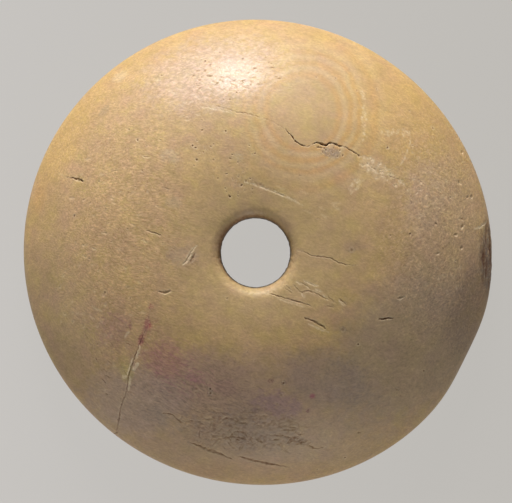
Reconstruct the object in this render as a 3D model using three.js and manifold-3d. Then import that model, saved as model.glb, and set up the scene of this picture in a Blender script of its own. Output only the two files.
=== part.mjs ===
import * as THREE from 'three';
import Module from 'manifold-3d';
import { mergeVertices } from 'three/addons/utils/BufferGeometryUtils.js';

// A spindle whorl of polished bone or ivory: a low dome with a flat ground base and one hole for the
// spindle. It is a single piece. The dome is highest in a ring round the hole and dips gently towards
// it. Hand work and wear show in its slightly oval outline, in a hole that sits a little off centre, in
// the worn lip round the hole, in a flat worn on the rim, and in two drying cracks and a nick that
// follow the dome.
// Millimetres, +Z up the spindle. The origin lies on the base plane in the middle of the outline.

// Outline, seen along the spindle
const OUTLINE_DIAMETER = 44;
const OVAL_RISE = 0.18;
const OVAL_DIRECTION_DEG = -33;
const LOBE_RISE = 0.05;
const LOBE_DIRECTION_DEG = -38;
const WORN_FLAT_DEPTH = 0.34;
const WORN_FLAT_DIRECTION_DEG = -26.6;
const WORN_FLAT_HALF_WIDTH_DEG = 10;
const WORN_FLAT_FADE_POWER = 6;

// Side view: the dome's section is one arc, whose crest is a ring round the spindle. It runs into
// the rim's round, and a short upright side stands between that and the base edge.
const DOME_CREST_HEIGHT = 12;
const CREST_RING_DIAMETER = 12.2;
const RIM_RADIUS = 2.35;
const UPRIGHT_SIDE_HEIGHT = 0.98;
const BASE_EDGE_RADIUS = 1.7;

// Spindle hole, a little wider at the dome so that it grips a tapered spindle
const HOLE_TOP_DIAMETER = 6.6;
const HOLE_BASE_DIAMETER = 6.45;
const HOLE_OFFSET_X = -0.24;
const HOLE_OFFSET_Y = 0.01;
const HOLE_LIP_RADIUS = 1.2;
const HOLE_BASE_EDGE_RADIUS = 0.35;

// Drying cracks and the nick, each a V-shaped groove that narrows and rises to nothing at both ends
const OPEN_CRACK_WIDTH = 0.36;
const OPEN_CRACK_DEPTH = 0.9;
const LONG_CRACK_WIDTH = 0.2;
const LONG_CRACK_DEPTH = 0.6;
const NICK_WIDTH = 0.3;
const NICK_DEPTH = 0.35;
const CUT_OVERRUN = 0.15;
const CUT_END_RISE = 0.05;
const SMALLEST_EDGE = 0.004;

// Routes of the grooves on the dome, as shares of the outline's radius: right, up
const OPEN_CRACK_ROUTE_SHARES = [
  [-0.128, 0.607],
  [0.018, 0.568],
  [0.112, 0.521],
  [0.163, 0.478],
  [0.21, 0.453],
  [0.262, 0.465],
  [0.326, 0.463],
  [0.373, 0.444],
  [0.425, 0.427],
  [0.463, 0.397],
  [0.523, 0.346],
  [0.6, 0.311],
  [0.652, 0.298],
];
const LONG_CRACK_ROUTE_SHARES = [
  [-0.449, -0.216],
  [-0.471, -0.28],
  [-0.488, -0.331],
  [-0.509, -0.396],
  [-0.531, -0.46],
  [-0.544, -0.511],
  [-0.561, -0.567],
  [-0.582, -0.653],
  [-0.588, -0.7],
];
const NICK_ROUTE_SHARES = [
  [-0.816, 0.338],
  [-0.786, 0.325],
  [-0.754, 0.307],
];

// Facets
const SEGMENTS_AROUND = 96;
const DOME_STEPS = 18;
const RIM_STEPS = 7;
const BASE_EDGE_STEPS = 6;
const LIP_STEPS = 6;
const HOLE_EDGE_STEPS = 4;
const CRACK_STEPS = 26;
const NICK_STEPS = 6;

const POLISHED_BONE = new THREE.MeshStandardMaterial({
  color: '#c2a477',
  roughness: 0.42,
  metalness: 0,
});

// Sizes that follow from the driving ones
const outlineRadius = OUTLINE_DIAMETER / 2;
const holeTopRadius = HOLE_TOP_DIAMETER / 2;
const holeBaseRadius = HOLE_BASE_DIAMETER / 2;
const rimCentreRadius = outlineRadius - RIM_RADIUS;
const rimCentreHeight = BASE_EDGE_RADIUS + UPRIGHT_SIDE_HEIGHT;

// The dome's arc is level at its crest and touches the rim's round from outside
const domeCentreRadius = CREST_RING_DIAMETER / 2;
const crestToRim = rimCentreRadius - domeCentreRadius;
const crestOverRim = DOME_CREST_HEIGHT - rimCentreHeight;
const rimSpan = crestToRim ** 2 + crestOverRim ** 2 - RIM_RADIUS ** 2;
const domeArcRadius = rimSpan / (2 * (crestOverRim - RIM_RADIUS));
const domeCentreHeight = DOME_CREST_HEIGHT - domeArcRadius;

// Height of an arc's centre that lies inside the dome's arc, touches it and stands at this radius
function heightInsideDome(centreRadius, arcRadius) {
  const reach = domeArcRadius - arcRadius;
  const away = centreRadius - domeCentreRadius;
  return domeCentreHeight + Math.sqrt(reach * reach - away * away);
}

// Height of the dome at a distance from the spindle's axis
function domeHeight(radius) {
  return heightInsideDome(radius, 0);
}

// Points of an arc in the section, from one angle to another, both ends included
function arc(centreRadius, centreHeight, arcRadius, fromAngle, toAngle, steps) {
  const points = [];
  for (let step = 0; step <= steps; step += 1) {
    const angle = THREE.MathUtils.lerp(fromAngle, toAngle, step / steps);
    const radius = centreRadius + arcRadius * Math.cos(angle);
    const height = centreHeight + arcRadius * Math.sin(angle);
    points.push(new THREE.Vector2(radius, height));
  }
  return points;
}

// The section through one half of the whorl, as a closed loop: up the hole, over its lip, down the
// dome, round the rim and the base edge, and back along the base
function sectionLoop() {
  const up = Math.PI / 2;
  const inwards = Math.PI;
  const holeEdgeRadius = holeBaseRadius + HOLE_BASE_EDGE_RADIUS;
  const holeEdge = arc(
    holeEdgeRadius, HOLE_BASE_EDGE_RADIUS, HOLE_BASE_EDGE_RADIUS, inwards + up, inwards, HOLE_EDGE_STEPS,
  );

  const lipRadius = holeTopRadius + HOLE_LIP_RADIUS;
  const lipHeight = heightInsideDome(lipRadius, HOLE_LIP_RADIUS);
  const lipEnd = Math.atan2(lipHeight - domeCentreHeight, lipRadius - domeCentreRadius);
  const lip = arc(lipRadius, lipHeight, HOLE_LIP_RADIUS, inwards, lipEnd, LIP_STEPS);

  const rimStart = Math.atan2(rimCentreHeight - domeCentreHeight, crestToRim);
  const rim = arc(rimCentreRadius, rimCentreHeight, RIM_RADIUS, rimStart, 0, RIM_STEPS);

  const dome = arc(domeCentreRadius, domeCentreHeight, domeArcRadius, lipEnd, rimStart, DOME_STEPS);

  const baseEdgeRadius = outlineRadius - BASE_EDGE_RADIUS;
  const baseEdge = arc(baseEdgeRadius, BASE_EDGE_RADIUS, BASE_EDGE_RADIUS, 0, -up, BASE_EDGE_STEPS);

  // The dome's two end points are those of the lip and the rim
  return [...holeEdge, ...lip, ...dome.slice(1, -1), ...rim, ...baseEdge];
}

// How far the outline stands out of a true circle in one direction, without the worn flat
function outlineRise(angle) {
  const oval = Math.cos(2 * (angle - THREE.MathUtils.degToRad(OVAL_DIRECTION_DEG)));
  const lobes = Math.cos(3 * (angle - THREE.MathUtils.degToRad(LOBE_DIRECTION_DEG)));
  return OVAL_RISE * oval + LOBE_RISE * lobes;
}

// How deep the rim is worn in one direction
function wornDepth(angle) {
  const direction = THREE.MathUtils.degToRad(WORN_FLAT_DIRECTION_DEG);
  const halfWidth = THREE.MathUtils.degToRad(WORN_FLAT_HALF_WIDTH_DEG);
  const away = Math.atan2(Math.sin(angle - direction), Math.cos(angle - direction));
  return WORN_FLAT_DEPTH * Math.exp(-((away / halfWidth) ** 2));
}

// A point of the section, turned to an angle about the spindle's axis. Rings change from round ones
// centred on the hole to the oval and worn outline at the rim.
function place(radius, height, angle) {
  const share = THREE.MathUtils.clamp((radius - holeTopRadius) / (outlineRadius - holeTopRadius), 0, 1);
  const rise = outlineRise(angle) * share;
  const wear = wornDepth(angle) * share ** WORN_FLAT_FADE_POWER;
  const reach = radius + rise - wear;
  const x = HOLE_OFFSET_X * (1 - share) + reach * Math.cos(angle);
  const y = HOLE_OFFSET_Y * (1 - share) + reach * Math.sin(angle);
  return new THREE.Vector3(x, y, height);
}

// The whorl without its cracks: the section's loop carried once round the axis
function bodyGeometry() {
  const loop = sectionLoop();
  const positions = [];
  const faces = [];
  loop.forEach((point, ring) => {
    const nextRing = (ring + 1) % loop.length;
    for (let segment = 0; segment < SEGMENTS_AROUND; segment += 1) {
      const angle = (segment / SEGMENTS_AROUND) * 2 * Math.PI;
      positions.push(...place(point.x, point.y, angle));

      const nextSegment = (segment + 1) % SEGMENTS_AROUND;
      const here = ring * SEGMENTS_AROUND + segment;
      const beyond = nextRing * SEGMENTS_AROUND + segment;
      const beyondAside = nextRing * SEGMENTS_AROUND + nextSegment;
      const aside = ring * SEGMENTS_AROUND + nextSegment;
      faces.push(here, beyond, beyondAside);
      faces.push(here, beyondAside, aside);
    }
  });
  return indexedGeometry(positions, faces);
}

// A groove's cutter: a V that follows a smooth route on the dome. Both its ends stand clear of the
// dome, and its opening and its depth grow from there to the full size half way along.
function grooveGeometry(routeShares, width, depth, steps) {
  const route = new THREE.SplineCurve(routeShares.map(([right, up]) => new THREE.Vector2(right, up)));
  const flare = width / 2 / depth;
  const positions = [];
  const faces = [];
  for (let step = 0; step <= steps; step += 1) {
    const along = step / steps;
    const spot = route.getPointAt(along).multiplyScalar(outlineRadius);
    const distance = spot.length();
    const crown = place(distance, domeHeight(distance), spot.angle());
    const heading = route.getTangentAt(along);
    const left = new THREE.Vector3(-heading.y, heading.x, 0);
    const depthHere = (depth + CUT_END_RISE) * Math.sin(Math.PI * along) ** 2 - CUT_END_RISE;
    const halfWidth = flare * (depthHere + CUT_OVERRUN);

    const top = crown.clone().setZ(crown.z + CUT_OVERRUN);
    positions.push(...top.clone().addScaledVector(left, halfWidth));
    positions.push(...top.clone().addScaledVector(left, -halfWidth));
    positions.push(crown.x, crown.y, crown.z - depthHere);

    if (step < steps) {
      const [leftTop, rightTop, bottom] = [3 * step, 3 * step + 1, 3 * step + 2];
      const [nextLeft, nextRight, nextBottom] = [leftTop + 3, rightTop + 3, bottom + 3];
      faces.push(leftTop, rightTop, nextRight, leftTop, nextRight, nextLeft);
      faces.push(rightTop, bottom, nextBottom, rightTop, nextBottom, nextRight);
      faces.push(bottom, leftTop, nextLeft, bottom, nextLeft, nextBottom);
    }
  }
  const last = 3 * steps;
  faces.push(0, 2, 1);
  faces.push(last, last + 1, last + 2);
  return indexedGeometry(positions, faces);
}

function indexedGeometry(positions, faces) {
  const geometry = new THREE.BufferGeometry();
  geometry.setAttribute('position', new THREE.Float32BufferAttribute(positions, 3));
  geometry.setIndex(faces);
  return geometry;
}

// Cutting library: three.js geometry to a solid and back
const wasm = await Module();
wasm.setup();

function toSolid(geometry) {
  const merged = mergeVertices(geometry);
  return new wasm.Manifold(new wasm.Mesh({
    numProp: 3,
    vertProperties: Float32Array.from(merged.attributes.position.array),
    triVerts: Uint32Array.from(merged.index.array),
  }));
}

function toGeometry(solid) {
  const mesh = solid.getMesh();
  const faces = withoutShortEdges(mesh.vertProperties, Array.from(mesh.triVerts));
  const geometry = indexedGeometry(mesh.vertProperties, faces);
  geometry.computeVertexNormals();
  return geometry;
}

// The faces once corners that a cut left closer than the smallest edge have become one corner
function withoutShortEdges(positions, faces) {
  const joinedTo = new Map();
  const follow = (corner) => (joinedTo.has(corner) ? follow(joinedTo.get(corner)) : corner);
  const spot = (corner) => new THREE.Vector3().fromArray(positions, 3 * corner);
  const keptFaces = [];
  for (let first = 0; first < faces.length; first += 3) {
    const corners = faces.slice(first, first + 3);
    corners.forEach((corner, side) => {
      const [from, to] = [follow(corner), follow(corners[(side + 1) % 3])];
      if (from !== to && spot(from).distanceTo(spot(to)) < SMALLEST_EDGE) joinedTo.set(from, to);
    });
  }
  for (let first = 0; first < faces.length; first += 3) {
    const corners = faces.slice(first, first + 3).map(follow);
    if (new Set(corners).size === 3) keptFaces.push(...corners);
  }
  return keptFaces;
}

// The whorl: the domed body with its grooves cut in
function whorlGeometry() {
  const grooves = [
    grooveGeometry(OPEN_CRACK_ROUTE_SHARES, OPEN_CRACK_WIDTH, OPEN_CRACK_DEPTH, CRACK_STEPS),
    grooveGeometry(LONG_CRACK_ROUTE_SHARES, LONG_CRACK_WIDTH, LONG_CRACK_DEPTH, CRACK_STEPS),
    grooveGeometry(NICK_ROUTE_SHARES, NICK_WIDTH, NICK_DEPTH, NICK_STEPS),
  ];
  let solid = toSolid(bodyGeometry());
  for (const groove of grooves) {
    solid = solid.subtract(toSolid(groove));
  }
  return toGeometry(solid);
}

const whorl = new THREE.Mesh(whorlGeometry(), POLISHED_BONE);
whorl.name = 'whorl';

const spindleWhorl = new THREE.Group();
spindleWhorl.add(whorl);

export default spindleWhorl;
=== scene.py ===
import logging
import math
import random
from dataclasses import dataclass
from enum import Enum
from typing import Any

import bmesh
import bpy
from mathutils import Euler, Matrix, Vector
from mathutils.kdtree import KDTree


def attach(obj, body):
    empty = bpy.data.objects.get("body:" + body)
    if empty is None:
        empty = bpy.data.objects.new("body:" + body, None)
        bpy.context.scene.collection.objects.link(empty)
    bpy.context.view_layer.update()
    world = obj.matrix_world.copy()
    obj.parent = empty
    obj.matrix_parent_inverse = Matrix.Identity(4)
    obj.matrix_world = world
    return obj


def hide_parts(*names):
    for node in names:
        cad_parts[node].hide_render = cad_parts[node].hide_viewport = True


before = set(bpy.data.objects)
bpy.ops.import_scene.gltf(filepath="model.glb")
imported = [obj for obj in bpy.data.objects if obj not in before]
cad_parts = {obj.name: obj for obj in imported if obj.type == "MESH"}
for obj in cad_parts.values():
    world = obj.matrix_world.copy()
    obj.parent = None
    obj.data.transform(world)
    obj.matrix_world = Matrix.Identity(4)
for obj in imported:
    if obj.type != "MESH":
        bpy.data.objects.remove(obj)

# A spindle whorl of polished bone or ivory, lit low from the top of the picture and seen straight
# down on its dome. Sizes are millimetres and directions degrees, until something is placed in the
# scene, which is in metres. Places on the dome are (right, up) from the middle of the outline.

log = logging.getLogger("spindle_whorl")

METRES = 0.001
MILLIMETRES = 1000.0

Plan = tuple[float, float]
Tree = bpy.types.NodeTree
Node = bpy.types.Node
Sockets = bpy.types.bpy_prop_collection
Source = Node | bpy.types.NodeSocket


def linear(colour: str, alpha: float = 1.0) -> tuple[float, float, float, float]:
    """Turns an sRGB hex colour to the linear values that shaders use.

    Args:
        colour: the colour, such as "#a38965".
        alpha: the fourth value.

    Returns:
        Red, green, blue and alpha.
    """
    channels = [int(colour[start:start + 2], 16) / 255 for start in (1, 3, 5)]
    knee, slope, shift, power = 0.04045, 12.92, 0.055, 2.4
    red, green, blue = (c / slope if c <= knee else ((c + shift) / (1 + shift)) ** power for c in channels)
    return red, green, blue, alpha


def add_node(tree: Tree, kind: str, inputs: dict[int | str, Any] | None = None,
             **settings: Any) -> Node:
    """Adds a node with its settings and links.

    Args:
        tree: the shader or geometry tree.
        kind: the node's type, such as "ShaderNodeMath".
        inputs: for an input's name, or its number among those in use, a value to set or what to link:
            an output, or a node that stands for the first of its outputs in use.
        **settings: the node's own properties.

    Returns:
        The new node.
    """
    node = tree.nodes.new(kind)
    for name, value in settings.items():
        setattr(node, name, value)
    in_use = [socket for socket in node.inputs if socket.enabled]
    for key, value in (inputs or {}).items():
        socket = in_use[key] if isinstance(key, int) else next(s for s in in_use if s.name == key)
        if isinstance(value, Node):
            value = next(output for output in value.outputs if output.enabled)
        if isinstance(value, bpy.types.NodeSocket):
            tree.links.new(value, socket)
        else:
            socket.default_value = value
    return node


@dataclass(frozen=True)
class WhorlForm:
    """The whorl as it was turned, drilled and worn, the same as the CAD solid without its cracks."""

    outline_radius: float = 22.0
    oval_rise: float = 0.18
    oval_direction: float = -33.0
    lobe_rise: float = 0.05
    lobe_direction: float = -38.0
    flat_depth: float = 0.34
    flat_direction: float = -26.6
    flat_half_width: float = 10.0
    flat_fade_power: int = 6
    crest_height: float = 12.0
    crest_ring_radius: float = 6.1  # the crest is a ring, because the dome dips towards the hole
    rim_radius: float = 2.35
    upright_side: float = 0.98  # between the rim's round and the base edge
    base_edge_radius: float = 1.7
    hole_top_radius: float = 3.3
    hole_base_radius: float = 3.225
    hole_offset: float = -0.24
    hole_lip_radius: float = 1.2
    hole_base_edge_radius: float = 0.35
    segments: int = 240
    hole_edge_steps: int = 4
    wall_steps: int = 8
    lip_steps: int = 12
    dome_steps: int = 50
    rim_steps: int = 14
    base_edge_steps: int = 8
    base_steps: int = 8
    search_rounds: int = 4  # enough for a place in the plan to find its ring of the section

    @property
    def rim_centre(self) -> Plan:
        """The middle of the rim's round in the section, as radius and height."""
        return self.outline_radius - self.rim_radius, self.base_edge_radius + self.upright_side

    @property
    def dome_arc_radius(self) -> float:
        """The dome's arc, which is level at its crest and touches the rim's round.

        Returns:
            Its radius.
        """
        across = self.rim_centre[0] - self.crest_ring_radius
        down = self.crest_height - self.rim_centre[1]
        return (across ** 2 + down ** 2 - self.rim_radius ** 2) / (2 * (down - self.rim_radius))

    def inside_dome(self, radius: float, arc_radius: float = 0.0) -> float:
        """Height of an arc's centre that stands at a radius and touches the dome from inside.

        Args:
            radius: the centre's distance from the axis.
            arc_radius: the arc's own radius, or 0 for a point on the dome.

        Returns:
            The height over the base.
        """
        reach = self.dome_arc_radius - arc_radius
        rise = math.sqrt(reach ** 2 - (radius - self.crest_ring_radius) ** 2)
        return self.crest_height - self.dome_arc_radius + rise

    def dome_angle(self, radius: float, arc_radius: float) -> float:
        """Angle on the dome's arc where an arc inside it, centred at a radius, touches it, in radians."""
        return math.acos((radius - self.crest_ring_radius) / (self.dome_arc_radius - arc_radius))

    def arc(self, centre: Plan, arc_radius: float, start: float, end: float, steps: int) -> list[Plan]:
        """Points of an arc in the section.

        Args:
            centre: the arc's centre, as radius and height.
            arc_radius: the arc's radius.
            start: the first point's angle in radians.
            end: the last point's angle in radians.
            steps: how many pieces the arc has.

        Returns:
            The points, both ends included.
        """
        angles = (start + (end - start) * step / steps for step in range(steps + 1))
        return [(centre[0] + arc_radius * math.cos(a), centre[1] + arc_radius * math.sin(a)) for a in angles]

    def hole_wall(self) -> list[Plan]:
        """The section up the hole.

        Returns:
            Its points, from the base to the end of the worn lip.
        """
        edge = self.hole_base_edge_radius
        lip = self.hole_lip_radius
        lip_radius = self.hole_top_radius + lip
        lip_centre = (lip_radius, self.inside_dome(lip_radius, lip))
        edge_centre = (self.hole_base_radius + edge, edge)
        bottom = self.arc(edge_centre, edge, 1.5 * math.pi, math.pi, self.hole_edge_steps)
        top = self.arc(lip_centre, lip, math.pi, self.dome_angle(lip_radius, lip), self.lip_steps)
        start, end = Vector(bottom[-1]), Vector(top[0])
        wall = [tuple(start.lerp(end, step / self.wall_steps)) for step in range(1, self.wall_steps)]
        return bottom + wall + top

    def dome(self) -> list[Plan]:
        """The section down the dome.

        Returns:
            Its points, between the lip's last one and the rim's first.
        """
        start = self.dome_angle(self.hole_top_radius + self.hole_lip_radius, self.hole_lip_radius)
        end = self.dome_angle(self.rim_centre[0], self.rim_radius)
        centre = (self.crest_ring_radius, self.crest_height - self.dome_arc_radius)
        return self.arc(centre, self.dome_arc_radius, start, end, self.dome_steps)[1:-1]

    def rim_and_base(self) -> list[Plan]:
        """The section from the end of the dome round the rim and along the base to the hole.

        Returns:
            Its points.
        """
        edge = self.base_edge_radius
        start = self.dome_angle(self.rim_centre[0], self.rim_radius)
        rim = self.arc(self.rim_centre, self.rim_radius, start, 0.0, self.rim_steps)
        outer = self.outline_radius - edge
        base_edge = self.arc((outer, edge), edge, 0.0, -math.pi / 2, self.base_edge_steps)
        inner = self.hole_base_radius + self.hole_base_edge_radius
        steps = self.base_steps
        base = [(outer + (inner - outer) * step / steps, 0.0) for step in range(1, steps)]
        return rim + base_edge + base

    def share_out(self, radius: float) -> float:
        """How far out a ring of the section is, from 0 at the hole to 1 at the outline."""
        share = (radius - self.hole_top_radius) / (self.outline_radius - self.hole_top_radius)
        return min(max(share, 0.0), 1.0)

    def outline_rise(self, angle: float, share: float) -> float:
        """How far a ring stands out of a true circle.

        Args:
            angle: the direction round the axis in radians.
            share: how far out the ring is, from 0 at the hole to 1 at the outline.

        Returns:
            The rise, below zero where the ring is worn or narrow.
        """
        oval = math.cos(2 * (angle - math.radians(self.oval_direction)))
        lobes = math.cos(3 * (angle - math.radians(self.lobe_direction)))
        away = angle - math.radians(self.flat_direction)
        away = math.atan2(math.sin(away), math.cos(away)) / math.radians(self.flat_half_width)
        wear = self.flat_depth * math.exp(-away ** 2) * share ** self.flat_fade_power
        return (self.oval_rise * oval + self.lobe_rise * lobes) * share - wear

    def place(self, radius: float, height: float, angle: float) -> Vector:
        """Carries a point of the section round to an angle, where the rings turn from round to worn oval.

        Args:
            radius: the point's radius in the section.
            height: its height over the base.
            angle: the direction round the axis in radians.

        Returns:
            The point.
        """
        share = self.share_out(radius)
        reach = radius + self.outline_rise(angle, share)
        off_centre = self.hole_offset * (1 - share)
        return Vector((off_centre + reach * math.cos(angle), reach * math.sin(angle), height))

    def on_dome(self, right: float, up: float) -> Vector:
        """The point of the dome over a place in the plan.

        Args:
            right: the place's X.
            up: the place's Y.

        Returns:
            The point.
        """
        radius = math.hypot(right, up)
        for _ in range(self.search_rounds):
            share = self.share_out(radius)
            across = right - self.hole_offset * (1 - share)
            radius = math.hypot(across, up) - self.outline_rise(math.atan2(up, across), share)
        return Vector((right, up, self.inside_dome(radius)))

    def over_rim(self, angle: float, travel: float) -> Vector:
        """The point reached from the dome's edge by travelling down over the rim and in along the base.

        Args:
            angle: the direction round the axis in radians.
            travel: the way along the section.

        Returns:
            The point.
        """
        path = [Vector(point) for point in self.rim_and_base()]
        for here, beyond in zip(path, path[1:]):
            step = (beyond - here).length
            if travel <= step:
                here = here.lerp(beyond, travel / step)
                break
            travel -= step
        return self.place(here.x, here.y, angle)

    def mesh(self) -> bpy.types.Mesh:
        """Carries the section once round the axis.

        Returns:
            The smooth form as a closed mesh, in metres.
        """
        section = self.hole_wall() + self.dome() + self.rim_and_base()
        around = self.segments
        turns = [2 * math.pi * segment / around for segment in range(around)]
        corners = [self.place(radius, height, turn) * METRES for radius, height in section for turn in turns]
        faces = []
        for ring in range(len(section)):
            beyond = (ring + 1) % len(section) * around
            for segment in range(around):
                aside = (segment + 1) % around
                here = ring * around
                faces.append((here + segment, beyond + segment, beyond + aside, here + aside))
        mesh = bpy.data.meshes.new("smooth_form")
        mesh.from_pydata(corners, [], faces)
        return mesh


class Tone(Enum):
    """What a mark looks like: how much dirt it holds, how pale its edges are and how broken it is."""

    DIRTY = (1.0, 0.45, 0.15)
    STAINED = (0.7, 0.3, 0.5)
    FAINT = (0.5, 0.25, 0.6)
    CHIPPED = (0.0, 0.7, 0.9)
    BARE = (0.0, 0.3, 0.2)
    SCRATCHED = (0.15, 0.9, 0.5)
    # Fully pale: on the resin drops this paints their glint
    RESIN = (0.0, 1.0, 0.3)


@dataclass(frozen=True)
class Crack:
    """A crack, slit, scratch or ridge that follows a route on the dome."""

    name: str
    tone: Tone
    width: float
    depth: float  # below zero for a ridge, which stands out
    route: tuple[tuple[float, float, float], ...]  # right, up, and the opening as a share of the width
    over_rim: float = 0.0  # how far it runs on down over the rim and in along the base


@dataclass(frozen=True)
class Ticks:
    """Short slits of one kind."""

    tone: Tone
    width: float
    depth: float
    places: tuple[tuple[float, float, float, float], ...]  # right, up, length and direction


@dataclass(frozen=True)
class Pits:
    """Round pits of one kind."""

    tone: Tone
    radius: float
    depth: float
    places: tuple[Plan, ...]


@dataclass(frozen=True)
class Area:
    """A soft-edged oval of the dome, seen in plan."""

    right: float
    up: float
    along: float
    across: float
    direction: float = 0.0


@dataclass(frozen=True)
class PitField:
    """Small pits or slits strewn at random over an oval, thinner towards its edge."""

    area: Area
    count: int
    tone: Tone
    radius: float
    depth: float
    length: float = 0.0  # of a slit
    direction: float = 0.0


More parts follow.
